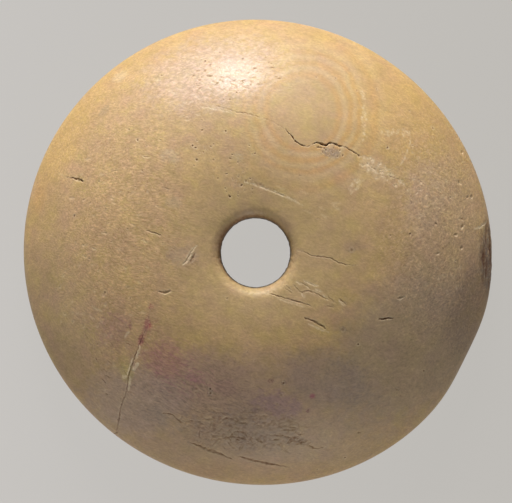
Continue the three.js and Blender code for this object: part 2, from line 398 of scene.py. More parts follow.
CRACKS = (
    # The open crack: a hairline from the upper left, then wide and ragged, then a flaked end
    # A pale line along the hairline's lower lip: painted light where the lip catches it, on a shallow
    # scratch
    Crack("open_crack_hairline_edge", Tone.SCRATCHED, 0.1, 0.03, (
        (-5.5, 13.72, 0.5), (-4.5, 13.58, 1.0), (-3.5, 13.4, 1.0), (-2.2, 13.02, 0.5))),
    Crack("open_crack_hairline", Tone.FAINT, 0.12, 0.055, (
        (-5.1, 13.73, 0.5), (-3.6, 13.7, 0.9), (-2.1, 13.25, 1.0), (-1.0, 13.05, 1.1), (0.2, 12.7, 1.0),
        (1.15, 12.4, 0.8), (1.9, 12.0, 0.7), (2.6, 11.55, 0.7))),
    Crack("open_crack_start", Tone.DIRTY, 0.1, 0.22, (
        (2.5, 11.6, 0.5), (3.03, 11.09, 1.3), (3.59, 10.43, 1.5), (4.25, 10.05, 1.3), (4.72, 9.96, 0.9),
        (5.15, 10.2, 0.6))),
    Crack("open_crack", Tone.DIRTY, 0.15, 0.45, (
        (5.15, 10.24, 0.5), (5.57, 10.37, 0.9), (5.95, 10.2, 1.6), (6.42, 10.12, 1.3), (6.8, 10.3, 0.8),
        (7.27, 10.18, 1.0), (7.74, 10.02, 0.8), (8.3, 9.83, 0.5), (8.96, 9.49, 0.9), (9.34, 9.2, 0.7),
        (9.72, 8.96, 0.4))),
    Crack("open_crack_branch", Tone.DIRTY, 0.1, 0.2, ((5.3, 9.98, 0.6), (5.9, 9.86, 1.0), (6.5, 9.8, 0.5))),
    Crack("open_crack_flaked_end", Tone.CHIPPED, 0.14, 0.07, (
        (9.9, 8.7, 0.7), (10.3, 8.3, 1.1), (10.7, 8.0, 1.5), (11.2, 7.65, 1.6), (11.7, 7.4, 0.7))),
    Crack("open_crack_end", Tone.STAINED, 0.09, 0.1, (
        (11.9, 7.45, 0.5), (12.55, 7.13, 1.0), (13.3, 6.85, 0.8), (14.24, 6.57, 0.4))),
    Crack("flaked_streak", Tone.CHIPPED, 0.1, 0.03, ((9.9, 7.0, 0.5), (9.3, 6.2, 1.0), (8.7, 5.5, 0.7))),
    Crack("flaked_arc", Tone.CHIPPED, 0.1, 0.01, (
        (14.2, 11.6, 0.5), (14.3, 10.4, 1.0), (13.8, 9.0, 1.0), (13.1, 7.8, 0.5))),
    # The long crack, which runs on over the rim, with drops of clear glossy resin along it, whose glint is
    # painted pale
    Crack("long_crack_top", Tone.FAINT, 0.1, 0.16, (
        (-10.08, -5.03, 0.4), (-10.2, -5.9, 0.8), (-10.36, -6.9, 0.9), (-11.02, -8.23, 1.0))),
    Crack("long_crack", Tone.FAINT, 0.2, 0.14, (
        (-11.0, -8.2, 0.7), (-11.49, -9.55, 0.9), (-11.87, -10.5, 1.0), (-12.15, -11.43, 1.0),
        (-12.34, -12.76, 0.9), (-12.62, -13.7, 0.9))),
    Crack("long_crack_foot", Tone.STAINED, 0.18, 0.14, (
        (-12.6, -13.65, 0.8), (-12.9, -14.45, 1.0), (-13.09, -15.5, 1.2), (-13.28, -16.5, 1.0)),
          over_rim=8.0),
    Crack("resin_upper", Tone.RESIN, 0.19, -0.06, (
        (-11.1, -8.76, 0.7), (-11.32, -9.37, 1.0), (-11.45, -9.93, 0.6))),
    Crack("resin_curl", Tone.RESIN, 0.2, -0.09, (
        (-11.8, -9.95, 0.5), (-12.06, -10.87, 1.0), (-12.25, -11.44, 1.1), (-12.6, -11.72, 0.9),
        (-12.75, -11.55, 0.5))),
    Crack("resin_drop", Tone.RESIN, 0.24, -0.07, ((-11.3, -10.4, 0.8), (-11.68, -10.97, 0.8))),
    Crack("resin_lower", Tone.RESIN, 0.19, -0.06, (
        (-12.02, -11.7, 0.6), (-12.08, -12.3, 1.0), (-12.18, -12.95, 0.5))),
    # Slits and scratches round the hole
    Crack("hole_side_hairline", Tone.STAINED, 0.16, 0.08, (
        (3.7, 0.22, 0.5), (4.5, 0.0, 0.9), (5.15, -0.3, 0.9), (6.1, -0.4, 1.0), (6.85, -0.54, 0.8),
        (7.42, -0.88, 1.0), (8.17, -1.1, 0.9), (9.3, -1.2, 0.4))),
    Crack("above_hole_grime", Tone.FAINT, 0.16, 0.05, (
        (-1.3, 6.85, 0.5), (-0.2, 6.5, 1.0), (1.0, 6.1, 1.0), (2.0, 5.7, 0.5))),
    Crack("above_hole_hairline", Tone.SCRATCHED, 0.14, 0.06, (
        (-1.3, 6.65, 0.5), (0.2, 6.2, 0.9), (0.9, 5.95, 1.2), (1.74, 5.6, 1.1), (3.06, 5.05, 0.8),
        (4.2, 4.4, 0.4))),
    # A pale line along the lower lip of the line under the hole: painted light where the lip catches it, on
    # a shallow scratch
    Crack("under_hole_edge", Tone.SCRATCHED, 0.1, 0.04, (
        (1.8, -4.3, 0.5), (2.6, -4.55, 1.0), (3.6, -4.85, 1.0), (4.4, -5.1, 0.5))),
    Crack("under_hole_line", Tone.FAINT, 0.2, 0.1, (
        (0.86, -3.82, 0.6), (1.61, -3.99, 1.0), (2.37, -4.24, 0.7), (3.5, -4.56, 1.0), (4.63, -4.86, 0.8),
        (5.05, -5.08, 0.4))),
    # The slit's pale lower lip: painted light where it catches the light, on a shallow scratch
    Crack("under_hole_slit_edge", Tone.SCRATCHED, 0.11, 0.03, (
        (4.7, -6.65, 0.5), (5.3, -6.95, 1.0), (5.9, -7.2, 1.2), (6.6, -7.45, 0.5))),
    Crack("under_hole_slit", Tone.STAINED, 0.26, 0.18, (
        (4.35, -6.12, 0.8), (5.0, -6.35, 0.7), (5.4, -6.55, 1.3), (5.76, -6.72, 1.2), (6.32, -7.1, 0.6))),
    Crack("wrinkle_long", Tone.FAINT, 0.22, 0.06, (
        (3.31, -3.05, 0.6), (4.06, -3.7, 1.0), (4.82, -3.6, 1.0), (6.32, -4.27, 1.0), (7.64, -4.84, 0.4))),
    Crack("wrinkle_short", Tone.SCRATCHED, 0.16, 0.05, (
        (4.25, -2.58, 0.6), (4.9, -2.9, 1.0), (5.57, -3.14, 0.6))),
    Crack("diagonal_scratch", Tone.SCRATCHED, 0.2, 0.09, (
        (-5.83, 0.63, 0.5), (-6.3, 0.06, 0.9), (-6.68, -0.69, 1.2), (-7.06, -1.07, 0.6))),
    Crack("diagonal_scratch_dirt", Tone.STAINED, 0.3, 0.1, (
        (-5.95, -0.15, 0.6), (-6.15, -0.55, 1.0), (-6.35, -0.95, 0.5))),
    Crack("crescent", Tone.BARE, 0.34, 0.2, ((-9.25, -3.6, 0.6), (-8.85, -3.76, 1.0), (-8.3, -3.62, 0.8))),
    # Nicks of the left and upper left
    Crack("nick_tail", Tone.BARE, 0.08, 0.04, ((-19.2, 7.35, 0.5), (-18.6, 7.4, 1.0), (-18.1, 7.15, 0.8))),
    Crack("nick", Tone.DIRTY, 0.19, 0.3, (
        (-18.1, 7.15, 0.15), (-17.45, 7.03, 0.5), (-16.95, 6.88, 1.4), (-16.5, 6.74, 0.8))),
    Crack("left_slit", Tone.STAINED, 0.2, 0.14, ((-10.5, 2.1, 0.5), (-9.9, 1.9, 1.0), (-9.2, 1.65, 0.6))),
    Crack("upper_slit", Tone.BARE, 0.12, 0.07, ((-10.9, 9.05, 0.6), (-10.5, 8.98, 1.0), (-10.1, 8.95, 0.6))),
    # The bottom crack in two strands, and the web of shallow wrinkles over it
    Crack("bottom_crack_left", Tone.STAINED, 0.34, 0.16, (
        (-6.7, -17.7, 0.4), (-5.46, -18.2, 0.9), (-4.8, -18.5, 1.6), (-4.3, -18.65, 1.5),
        (-3.57, -18.94, 0.9), (-2.44, -19.45, 0.5))),
    Crack("bottom_crack_right", Tone.STAINED, 0.36, 0.14, (
        (-1.7, -19.17, 0.5), (-0.74, -19.45, 1.0), (0.2, -19.68, 0.8), (0.86, -19.83, 1.1),
        (1.6, -19.95, 0.8), (3.0, -20.2, 0.4))),
    Crack("bottom_curl", Tone.STAINED, 0.22, 0.1, (
        (-9.04, -15.1, 0.5), (-8.1, -15.2, 0.9), (-7.34, -15.87, 1.0), (-6.6, -16.06, 0.4))),
    Crack("bottom_wrinkle_left", Tone.STAINED, 0.26, 0.07, (
        (-4.35, -17.3, 0.5), (-3.6, -17.5, 1.0), (-2.5, -17.3, 0.8), (-1.5, -17.45, 1.2),
        (-1.0, -17.6, 0.6))),
    Crack("bottom_wrinkle_upper", Tone.STAINED, 0.26, 0.06, (
        (-3.6, -16.0, 0.5), (-2.9, -15.5, 1.0), (-2.2, -15.75, 0.6))),
    Crack("bottom_wrinkle_fall", Tone.FAINT, 0.12, 0.05, (
        (-5.85, -12.9, 0.5), (-5.8, -13.9, 1.0), (-5.7, -14.9, 0.5))),
    Crack("bottom_right_web", Tone.STAINED, 0.26, 0.07, (
        (1.2, -17.1, 0.5), (2.75, -17.3, 0.9), (3.5, -17.75, 1.0), (4.3, -17.5, 0.6))),
    Crack("bottom_right_curl", Tone.STAINED, 0.2, 0.08, (
        (3.9, -17.9, 0.5), (4.8, -18.1, 0.8), (5.4, -18.4, 1.0), (6.3, -18.3, 0.5))),
    Crack("lower_left_scratch", Tone.STAINED, 0.11, 0.08, (
        (-14.75, -11.35, 0.5), (-14.0, -11.7, 1.0), (-13.2, -12.0, 0.4))),
    Crack("lower_left_nick", Tone.STAINED, 0.12, 0.1, (
        (-14.6, -13.1, 0.5), (-14.2, -13.3, 1.0), (-13.85, -13.4, 0.6))),
    Crack("curl_upper", Tone.SCRATCHED, 0.1, 0.04, (
        (-15.6, -5.0, 0.5), (-15.2, -5.3, 1.0), (-14.7, -5.45, 0.6))),
    Crack("curl_lower", Tone.SCRATCHED, 0.1, 0.04, (
        (-15.85, -5.8, 0.5), (-15.6, -6.1, 1.0), (-15.35, -6.25, 0.6))),
    Crack("red_slit", Tone.STAINED, 0.1, 0.06, (
        (-12.0, -6.45, 0.5), (-11.85, -6.8, 1.0), (-11.75, -7.1, 0.5))),
    Crack("pale_slit", Tone.SCRATCHED, 0.15, 0.07, (
        (-12.1, -7.4, 0.5), (-12.35, -7.65, 1.0), (-12.5, -7.95, 0.5))),
    Crack("lower_right_curl", Tone.FAINT, 0.13, 0.07, (
        (12.7, -12.7, 0.5), (13.1, -12.85, 1.0), (13.35, -13.2, 0.9), (13.45, -13.55, 0.4))),
    Crack("rim_scratch", Tone.RESIN, 0.14, 0.07, (
        (20.3, 2.2, 0.4), (21.0, 2.5, 1.0), (21.5, 2.85, 0.8), (21.8, 3.2, 0.4))),
)

TICKS = (
    # Open pits of the right side: their lower wall catches the light
    Ticks(Tone.STAINED, 0.2, 0.18, (
        (16.7, 2.75, 0.35, -20.0), (14.3, 1.76, 0.25, -15.0), (12.4, 1.6, 0.2, -10.0),
        (19.15, 3.2, 0.3, 10.0), (16.5, 11.65, 0.1, -40.0), (9.5, -16.9, 0.35, -10.0))),
    Ticks(Tone.DIRTY, 0.24, 0.2, ((12.0, -6.2, 1.5, 5.0),)),
    Ticks(Tone.BARE, 0.36, 0.17, (
        (19.24, 9.45, 0.15, 20.0), (18.96, 6.6, 0.2, 60.0), (19.7, 5.2, 0.2, -30.0),
        (20.1, 5.25, 0.15, 20.0), (18.6, 1.7, 0.4, 0.0), (19.15, 0.45, 0.3, 30.0),
        (16.9, -0.05, 0.35, 15.0), (19.24, -3.3, 0.1, 0.0), (13.4, -4.25, 0.6, 10.0),
        (19.2, 2.45, 0.4, 55.0))),
    Ticks(Tone.FAINT, 0.09, 0.06, (
        (-14.4, 11.1, 0.4, -10.0), (14.3, -9.5, 0.3, 10.0), (12.7, 4.7, 0.3, -30.0),
        (-11.3, 9.9, 0.5, -12.0), (-9.2, 10.6, 0.5, -15.0), (-8.6, 6.0, 0.6, -14.0),
        (-12.6, 9.2, 0.4, -8.0), (-13.4, 7.7, 0.5, 0.0), (4.0, 7.2, 0.5, -20.0),
        (2.3, 3.9, 0.6, -20.0), (5.6, 3.2, 0.6, -18.0), (-3.2, -4.0, 0.4, -40.0))),
)

PITS = (
    Pits(Tone.DIRTY, 0.12, 0.12, (
        (12.17, 9.86), (16.45, 11.72), (-11.3, 10.56), (-3.06, 11.4), (-5.0, 18.03), (15.6, -11.1),
        (9.4, -8.61), (8.2, -19.3), (-2.67, 5.28), (-1.59, 6.34), (-6.17, 10.05), (-5.87, 9.86),
        (-5.74, 8.73), (2.37, -12.25),
        (-4.5, -12.76), (-4.5, -13.2), (-17.3, 3.45), (-14.4, -3.72), (20.7, -8.3))),
    Pits(Tone.STAINED, 0.09, 0.09, (
        (14.24, 13.35), (9.25, 15.27), (11.13, 15.43), (5.48, 16.48), (7.27, 16.41), (17.83, 9.11),
        (-5.74, 10.52), (-6.02, 8.13), (-5.27, 12.46), (-0.84, 10.05), (-12.15, 11.56), (-14.98, 6.7),
        (-15.4, 14.4), (-2.35, 19.86), (-2.4, 19.53), (-3.76, 20.04), (-3.67, 18.86), (-3.0, 7.41),
        (-2.35, 6.85), (-1.12, 6.72), (-3.1, 6.0), (-2.63, 8.83), (-1.88, 8.45), (18.6, -1.45),
        (16.0, -6.6), (-15.1, -8.55), (-11.9, -15.6), (-6.0, -19.8),
        (1.24, -12.0), (1.8, -14.2), (4.7, -14.8), (-2.9, -4.3), (-2.44, 9.2), (-0.3, 9.3), (5.6, -20.4))),
    Pits(Tone.STAINED, 0.16, 0.05, ((7.93, -7.2), (8.78, 0.25), (-1.5, -17.43), (-5.8, -12.8))),
)

PIT_FIELDS = (
    # Flakes round the end of the open crack and along the growth layers
    PitField(Area(11.4, 7.7, 2.6, 0.75, -32.0), 90, Tone.CHIPPED, 0.09, 0.05),
    PitField(Area(13.0, 11.3, 1.6, 0.4, 3.0), 26, Tone.CHIPPED, 0.08, 0.04),
    PitField(Area(9.2, 6.4, 1.2, 0.35, 50.0), 24, Tone.CHIPPED, 0.08, 0.03),
    PitField(Area(9.9, 13.0, 0.3, 2.8, 3.0), 34, Tone.CHIPPED, 0.07, 0.02),
    # The spall under the open crack, crumbled to grains
    PitField(Area(6.95, 9.4, 1.1, 0.5, -15.0), 24, Tone.STAINED, 0.07, 0.08),
    # Dirty strokes and pits at both ends of the worn place where the light glints, and bright ones in it
    PitField(Area(-4.9, 16.7, 1.6, 1.4, 30.0), 22, Tone.FAINT, 0.09, 0.06, 0.4, 25.0),
    PitField(Area(0.6, 16.8, 1.7, 1.3, 20.0), 18, Tone.FAINT, 0.08, 0.05, 0.6, 35.0),
    PitField(Area(-2.2, 16.9, 3.4, 1.5, 10.0), 16, Tone.BARE, 0.07, 0.03, 0.9, 40.0),
    PitField(Area(-6.0, 15.5, 4.0, 3.0, 10.0), 40, Tone.BARE, 0.08, 0.03, 0.5, -5.0),
    # Short slits that drying opened in the left half, along the fibres
    PitField(Area(-14.0, 2.0, 5.0, 13.0, 8.0), 40, Tone.BARE, 0.07, 0.05, 0.5, -12.0),
    PitField(Area(-13.0, 6.0, 6.0, 9.0), 50, Tone.STAINED, 0.06, 0.05),
    # Specks round the hole's upper left, and the web of shallow wrinkles at the bottom
    PitField(Area(-2.1, 6.4, 1.4, 1.0), 22, Tone.STAINED, 0.06, 0.05),
    PitField(Area(-1.0, -17.0, 6.5, 2.2, -6.0), 30, Tone.FAINT, 0.12, 0.06, 1.1, -25.0),
    PitField(Area(-4.0, -16.6, 4.0, 2.0, -10.0), 16, Tone.FAINT, 0.12, 0.06, 0.9, 50.0),
    PitField(Area(-1.6, -17.4, 1.2, 0.7), 9, Tone.STAINED, 0.13, 0.06, 0.6, -20.0),
    PitField(Area(3.9, -17.5, 1.3, 0.6), 10, Tone.STAINED, 0.13, 0.06, 0.7, 20.0),
    PitField(Area(0.4, -19.7, 2.4, 0.2, -13.0), 7, Tone.STAINED, 0.1, 0.08),
    # Fine scratches beside the hole, and the small pits of the rest of the dome
    PitField(Area(5.4, -4.2, 3.2, 1.3, -25.0), 7, Tone.SCRATCHED, 0.06, 0.03, 0.7, -25.0),
    PitField(Area(5.8, -4.3, 3.4, 1.6, -25.0), 12, Tone.FAINT, 0.08, 0.05, 0.8, -25.0),
    PitField(Area(4.5, 5.5, 4.0, 2.0, -20.0), 8, Tone.BARE, 0.06, 0.02, 0.9, -20.0),
    PitField(Area(20.9, -2.0, 0.7, 3.5), 16, Tone.CHIPPED, 0.07, 0.04),
    PitField(Area(-14.0, -10.5, 2.5, 4.0, 20.0), 22, Tone.STAINED, 0.08, 0.05, 0.7, -35.0),
    PitField(Area(-16.0, 1.0, 5.0, 14.0, 10.0), 70, Tone.FAINT, 0.08, 0.05),
    PitField(Area(-17.5, -6.0, 4.0, 9.0, 15.0), 45, Tone.BARE, 0.1, 0.06),
    PitField(Area(17.0, 3.0, 4.0, 9.0, 5.0), 60, Tone.BARE, 0.09, 0.06),
    PitField(Area(-4.0, 17.0, 7.0, 3.0, 10.0), 40, Tone.FAINT, 0.09, 0.06),
    PitField(Area(-1.9, 7.2, 2.6, 2.6), 16, Tone.STAINED, 0.08, 0.06),
    PitField(Area(-4.6, 9.6, 2.4, 2.6), 14, Tone.STAINED, 0.08, 0.06),
    PitField(Area(0.0, -13.0, 10.0, 4.0, -8.0), 30, Tone.FAINT, 0.09, 0.05),
)


def smooth_route(points: list[Vector], spacing: float) -> list[Vector]:
    """Threads a smooth curve through points and walks along it.

    Args:
        points: the places that the curve passes through.
        spacing: the largest step along the curve.

    Returns:
        The steps, both ends included.
    """
    padded = [2 * points[0] - points[1], *points, 2 * points[-1] - points[-2]]
    steps = []
    for before, start, end, after in zip(padded, padded[1:], padded[2:], padded[3:]):
        count = max(1, math.ceil((end - start).length / spacing))
        for step in range(count):
            t = step / count
            pull = end - before
            bend = 2 * before - 5 * start + 4 * end - after
            twist = 3 * start - before - 3 * end + after
            steps.append(start + (pull * t + bend * t ** 2 + twist * t ** 3) / 2)
    return [*steps, points[-1]]


MARK_COLUMNS = ("half_width", "depth", "dirt", "pale", "broken")


@dataclass(frozen=True)
class Carving:
    """A point of a mark: where it is, and what it does to the surface there."""

    place: Vector
    half_width: float
    depth: float
    tone: Tone


@dataclass(frozen=True)
class WearMarks:
    """The cracks and pits as helper meshes that the surface is carved by."""

    form: WhorlForm
    cracks: tuple[Crack, ...]
    ticks: tuple[Ticks, ...]
    pits: tuple[Pits, ...]
    fields: tuple[PitField, ...]
    spacing: float = 0.05
    least_opening: float = 0.05  # a share; a mark is never quite closed, because widths are divided by
    rim_sways: tuple[Plan, ...] = ((0.012, 2.1), (0.006, 5.3))  # how far, in radians, and how quickly
    rim_fade_power: int = 3
    tick_taper: float = 0.7  # how much narrower and shallower a slit is at its ends
    crowding: float = 0.6  # 0.5 would strew marks evenly, and more thins them out outwards
    sizes: Plan = (0.6, 1.3)  # shares between which the size of a strewn mark is drawn
    twist_range: float = 60.0
    hole_margin: float = 1.0
    seed: int = 7

    def crack_line(self, crack: Crack) -> list[Carving]:
        """Walks along a crack on the surface.

        Args:
            crack: the crack.

        Returns:
            Its steps.
        """
        walked = smooth_route([Vector(point) for point in crack.route], self.spacing)
        line = []
        for right, up, opening in walked:
            share = min(max(opening, 0.0), 1.0)
            half_width = crack.width / 2 * max(opening, self.least_opening)
            line.append(Carving(self.form.on_dome(right, up), half_width, crack.depth * share, crack.tone))
        end = line[-1]
        angle = math.atan2(end.place.y, end.place.x)
        steps = math.ceil(crack.over_rim / self.spacing)
        for step in range(1, steps + 1):
            travel = crack.over_rim * step / steps
            sway = sum(reach * math.sin(travel * pace) for reach, pace in self.rim_sways)
            left = 1 - (step / (steps + 1)) ** self.rim_fade_power  # never 0, so that a width is left
            place = self.form.over_rim(angle + sway, travel)
            line.append(Carving(place, end.half_width * left, end.depth * left, crack.tone))
        return line

    def tick_line(self, kind: Ticks, place: tuple[float, float, float, float]) -> list[Carving]:
        """Walks along a short slit.

        Args:
            kind: the slit's kind.
            place: its middle, length and direction.

        Returns:
            Its steps, narrowing to both ends.
        """
        right, up, length, direction = place
        turn = math.radians(direction)
        half = Vector((math.cos(turn), math.sin(turn))) * length / 2
        steps = max(2, math.ceil(length / self.spacing))
        line = []
        for step in range(steps + 1):
            along = 2 * step / steps - 1
            spot = Vector((right, up)) + half * along
            left = 1 - self.tick_taper * along ** 2
            half_width = kind.width / 2 * left
            line.append(Carving(self.form.on_dome(*spot), half_width, kind.depth * left, kind.tone))
        return line

    def lines(self) -> list[list[Carving]]:
        """Carves every crack and slit, the chosen ones and the strewn ones.

        Returns:
            A line of steps for each.
        """
        found = [self.crack_line(crack) for crack in self.cracks]
        found += [self.tick_line(kind, place) for kind in self.ticks for place in kind.places]
        for field in (field for field in self.fields if field.length):
            for right, up, size, twist in self.strewn(field):
                kind = Ticks(field.tone, 2 * field.radius * size, field.depth * size, ())
                direction = field.direction + self.twist_range * twist
                found.append(self.tick_line(kind, (right, up, field.length * size, direction)))
        return found

    def points(self) -> list[Carving]:
        """Carves every pit, the chosen ones and the strewn ones.

        Returns:
            A step for each.
        """
        found = [Carving(self.form.on_dome(*place), kind.radius, kind.depth, kind.tone)
                 for kind in self.pits for place in kind.places]
        for field in (field for field in self.fields if not field.length):
            for right, up, size, _ in self.strewn(field):
                place = self.form.on_dome(right, up)
                found.append(Carving(place, field.radius * size, field.depth * size, field.tone))
        return found

    def strewn(self, field: PitField) -> list[tuple[float, float, float, float]]:
        """Draws the places of a field at random.

        Args:
            field: the field.

        Returns:
            For each place on the dome its X and Y, its size as a share, and a twist from -0.5 to 0.5.
        """
        area = field.area
        draw = random.Random(f"{self.seed} {area}")
        turn = math.radians(area.direction)
        inner = self.form.hole_top_radius + self.hole_margin
        found = []
        for _ in range(field.count):
            away = draw.random() ** self.crowding
            around = draw.uniform(0.0, 2 * math.pi)
            along = area.along * away * math.cos(around)
            across = area.across * away * math.sin(around)
            right = area.right + along * math.cos(turn) - across * math.sin(turn)
            up = area.up + along * math.sin(turn) + across * math.cos(turn)
            size, twist = draw.uniform(*self.sizes), draw.uniform(-0.5, 0.5)
            if inner < math.hypot(right, up) < self.form.rim_centre[0]:
                found.append((right, up, size, twist))
        return found

    def helper(self, name: str, lines: list[list[Carving]]) -> bpy.types.Object:
        """Makes a helper object whose points carry what is carved there.

        Args:
            name: the object's name.
            lines: the points of each line, which are joined in their order.

        Returns:
            The object, in metres.
        """
        rows = [row for line in lines for row in line]
        edges = []
        first = 0
        for line in lines:
            edges += [(first + step, first + step + 1) for step in range(len(line) - 1)]
            first += len(line)
        mesh = bpy.data.meshes.new(name)
        mesh.from_pydata([row.place * METRES for row in rows], edges, [])
        for column, title in enumerate(MARK_COLUMNS):
            values = [(row.half_width * METRES, row.depth * METRES, *row.tone.value)[column] for row in rows]
            mesh.attributes.new(title, "FLOAT", "POINT").data.foreach_set("value", values)
        helper = bpy.data.objects.new(name, mesh)
        bpy.context.scene.collection.objects.link(helper)
        return helper


@dataclass(frozen=True)
class Zone:
    """A part of the surface that a rounded box takes in."""

    centre: tuple[float, float, float]
    reach: tuple[float, float, float]

    def holds(self, place: Vector) -> bool:
        """Whether a place lies in the zone."""
        return sum(((p - c) / r) ** 2 for p, c, r in zip(place, self.centre, self.reach)) < 1


@dataclass(frozen=True)
class PorousPatch:
    """The part of the rim where the polish has gone and the spongy bone shows."""

    zone: Zone = Zone((21.9, -0.4, 3.4), (1.75, 4.4, 3.0))
    pore_spacing: float = 0.34
    pore_radius: float = 0.13
    pore_depth: float = 0.11
    pore_dirt: float = 0.8
    pore_pale: float = 0.4
    furrow_depth: float = 0.1
    furrow_dirt: float = 0.7


@dataclass(frozen=True)
class Unevenness:
    """A random relief, or a pattern that says where something else is."""

    size: tuple[float, float, float]  # of its grains along X, Y and Z
    amount: float = 0.0  # how far a relief moves the surface


RELIEFS = ("Undulation", "Wander", "Gaps", "Chips", "Furrows", "Wrinkles")
ZONES = ("Patch", "Glint", "Web")
SKIN_INPUTS = {
    "NodeSocketGeometry": ("Form",),
    "NodeSocketObject": ("Crack lines", "Pits"),
    "NodeSocketVector": (
        "Hole axis", "Dirt axis", *(f"{zone} {side}" for zone in ZONES for side in ("centre", "reach")),
        *(f"{relief} size" for relief in RELIEFS)),
    "NodeSocketFloat": (
        "Allowance", "Undulation", "Wander", "Chips", "Hole radius", "Lip radius", "Dirt reach",
        "Pore spacing", "Pore radius", "Pore depth", "Furrow depth", "Wrinkle depth", "Wrinkle dirt",
        "Furrow dirt"),
    "NodeSocketInt": ("Seed",),
    "NodeSocketMaterial": ("Material",),
}


@dataclass(frozen=True)
class WornSkin:
    """What use and drying did to the smooth form, as a Geometry Nodes tree that carves it."""

    form: WhorlForm
    patch: PorousPatch = PorousPatch()
    glint: Zone = Zone((-1.9, 16.5, 8.5), (3.7, 2.3, 4.0))  # a worn place with fine wrinkles
    web: Zone = Zone((-1.0, -16.5, 8.0), (8.0, 3.2, 5.0))  # a web of drying wrinkles, which hold dirt
    wrinkle_depth: float = 0.04
    wrinkle_dirt: float = 0.35
    allowance: float = 0.004
    undulation: Unevenness = Unevenness((2.2, 2.2, 2.2), 0.014)
    wander: Unevenness = Unevenness((0.28, 0.28, 0.28), 0.32)
    gaps: Unevenness = Unevenness((0.36, 0.36, 0.36))
    wrinkles: Unevenness = Unevenness((1.1, 0.7, 0.9))
    chips: Unevenness = Unevenness((0.3, 0.3, 2.0), 0.09)
    furrows: Unevenness = Unevenness((0.22, 1.8, 0.5))
    gap_levels: Plan = (0.4, 0.6)  # noise levels at which a broken mark is quite gone and quite whole
    furrow_levels: Plan = (0.6, 0.42)  # levels at which a furrow begins and is at its deepest
    bite_levels: Plan = (0.45, 0.75)  # the same for a chip in the hole's wall
    fold_half_width: float = 0.08  # how far from its noise's middle level a wrinkle reaches
    zone_core: float = 0.45  # share of its reach within which a zone is at its full strength
    smallest_pore: float = 0.4  # as a share of the largest
    wall_dirt: float = 0.5  # how dark the dirt and painted shade on the hole's wall are at most
    wall_dirt_reach: float = 0.24
    wall_dirt_shift: Plan = (-0.1, 0.14)  # towards the upper left, where the lip slopes away from the light: painted shade with grime
    mark_edges: tuple[tuple[str, float, float], ...] = (  # half widths at which each ends and is full
        ("depth", 1.2, 0.0), ("dirt", 1.3, 0.2), ("pale", 2.4, 1.0))
    seed: int = 11

    def tree(self) -> Tree:
        """Builds the tree, whose inputs are the sizes, the helper objects, the seed and the material.

        Returns:
            The tree.
        """
        tree = bpy.data.node_groups.new("worn_skin", "GeometryNodeTree")
        for kind, names in SKIN_INPUTS.items():
            for name in names:
                tree.interface.new_socket(name, in_out="INPUT", socket_type=kind)
        tree.interface.new_socket("Surface", in_out="OUTPUT", socket_type="NodeSocketGeometry")
        given = add_node(tree, "NodeGroupInput").outputs
        position = add_node(tree, "GeometryNodeInputPosition")
        noises = self.noises(tree, position, given)
        centred = add_node(
            tree, "ShaderNodeVectorMath", {0: noises["Wander"].outputs["Color"], 1: (0.5, 0.5, 0.5)},
            operation="SUBTRACT")
        strayed = add_node(
            tree, "ShaderNodeVectorMath", {0: centred, 1: given["Wander"], 2: position},
            operation="MULTIPLY_ADD")
        none, full = self.gap_levels
        whole = add_node(
            tree, "ShaderNodeMapRange", {"Value": noises["Gaps"], "From Min": none, "From Max": full})
        patch, glint, web = [self.zone_share(tree, strayed, given, zone) for zone in ZONES]

        cracks, pits = [
            add_node(tree, "GeometryNodeObjectInfo", {"Object": given[name]}).outputs["Geometry"]
            for name in ("Crack lines", "Pits")]
        carved = [
            self.furrowed(tree, noises["Furrows"], given, patch),
            self.folded(tree, noises["Wrinkles"], given, whole, glint, web),
            self.carved(tree, cracks, "EDGES", strayed, whole),
            self.carved(tree, pits, "POINTS", strayed, whole),
            self.carved(tree, self.pores(tree, given, patch), "POINTS", strayed, whole),
            self.hole_wear(tree, strayed, given, noises["Chips"]),
        ]
        depth = add_node(
            tree, "ShaderNodeMath", {0: noises["Undulation"], 1: given["Undulation"], 2: given["Allowance"]},
            operation="MULTIPLY_ADD")
        for marks in carved:
            depth = add_node(tree, "ShaderNodeMath", {0: depth, 1: marks["depth"]}, operation="ADD")
        inwards = add_node(tree, "ShaderNodeMath", {0: depth, 1: -1.0}, operation="MULTIPLY")
        offset = add_node(
            tree, "ShaderNodeVectorMath", {0: add_node(tree, "GeometryNodeInputNormal"), "Scale": inwards},
            operation="SCALE")

        surface = self.told(tree, given["Form"], carved, {"porous": patch, "glint": glint})
        surface = add_node(tree, "GeometryNodeSetPosition", {"Geometry": surface, "Offset": offset})
        surface = add_node(tree, "GeometryNodeSetShadeSmooth", {"Geometry": surface})
        surface = add_node(tree, "GeometryNodeRealizeInstances", {"Geometry": surface})
        surface = add_node(
            tree, "GeometryNodeSetMaterial", {"Geometry": surface, "Material": given["Material"]})
        add_node(tree, "NodeGroupOutput", {0: surface})
        return tree

    def noises(self, tree: Tree, position: Source, given: Sockets) -> dict[str, Node]:
        """Makes the noise that each relief follows.

        Args:
            tree: the tree.
            position: the surface point.
            given: the tree's inputs.

        Returns:
            The noise for each relief's name.
        """
        found = {}
        for name in RELIEFS:
            spread = add_node(
                tree, "ShaderNodeVectorMath", {0: position, 1: given[f"{name} size"]}, operation="DIVIDE")
            found[name] = add_node(
                tree, "ShaderNodeTexNoise",
                {"Vector": spread, "W": given["Seed"], "Scale": 1.0, "Detail": 3.0}, noise_dimensions="4D")
        return found

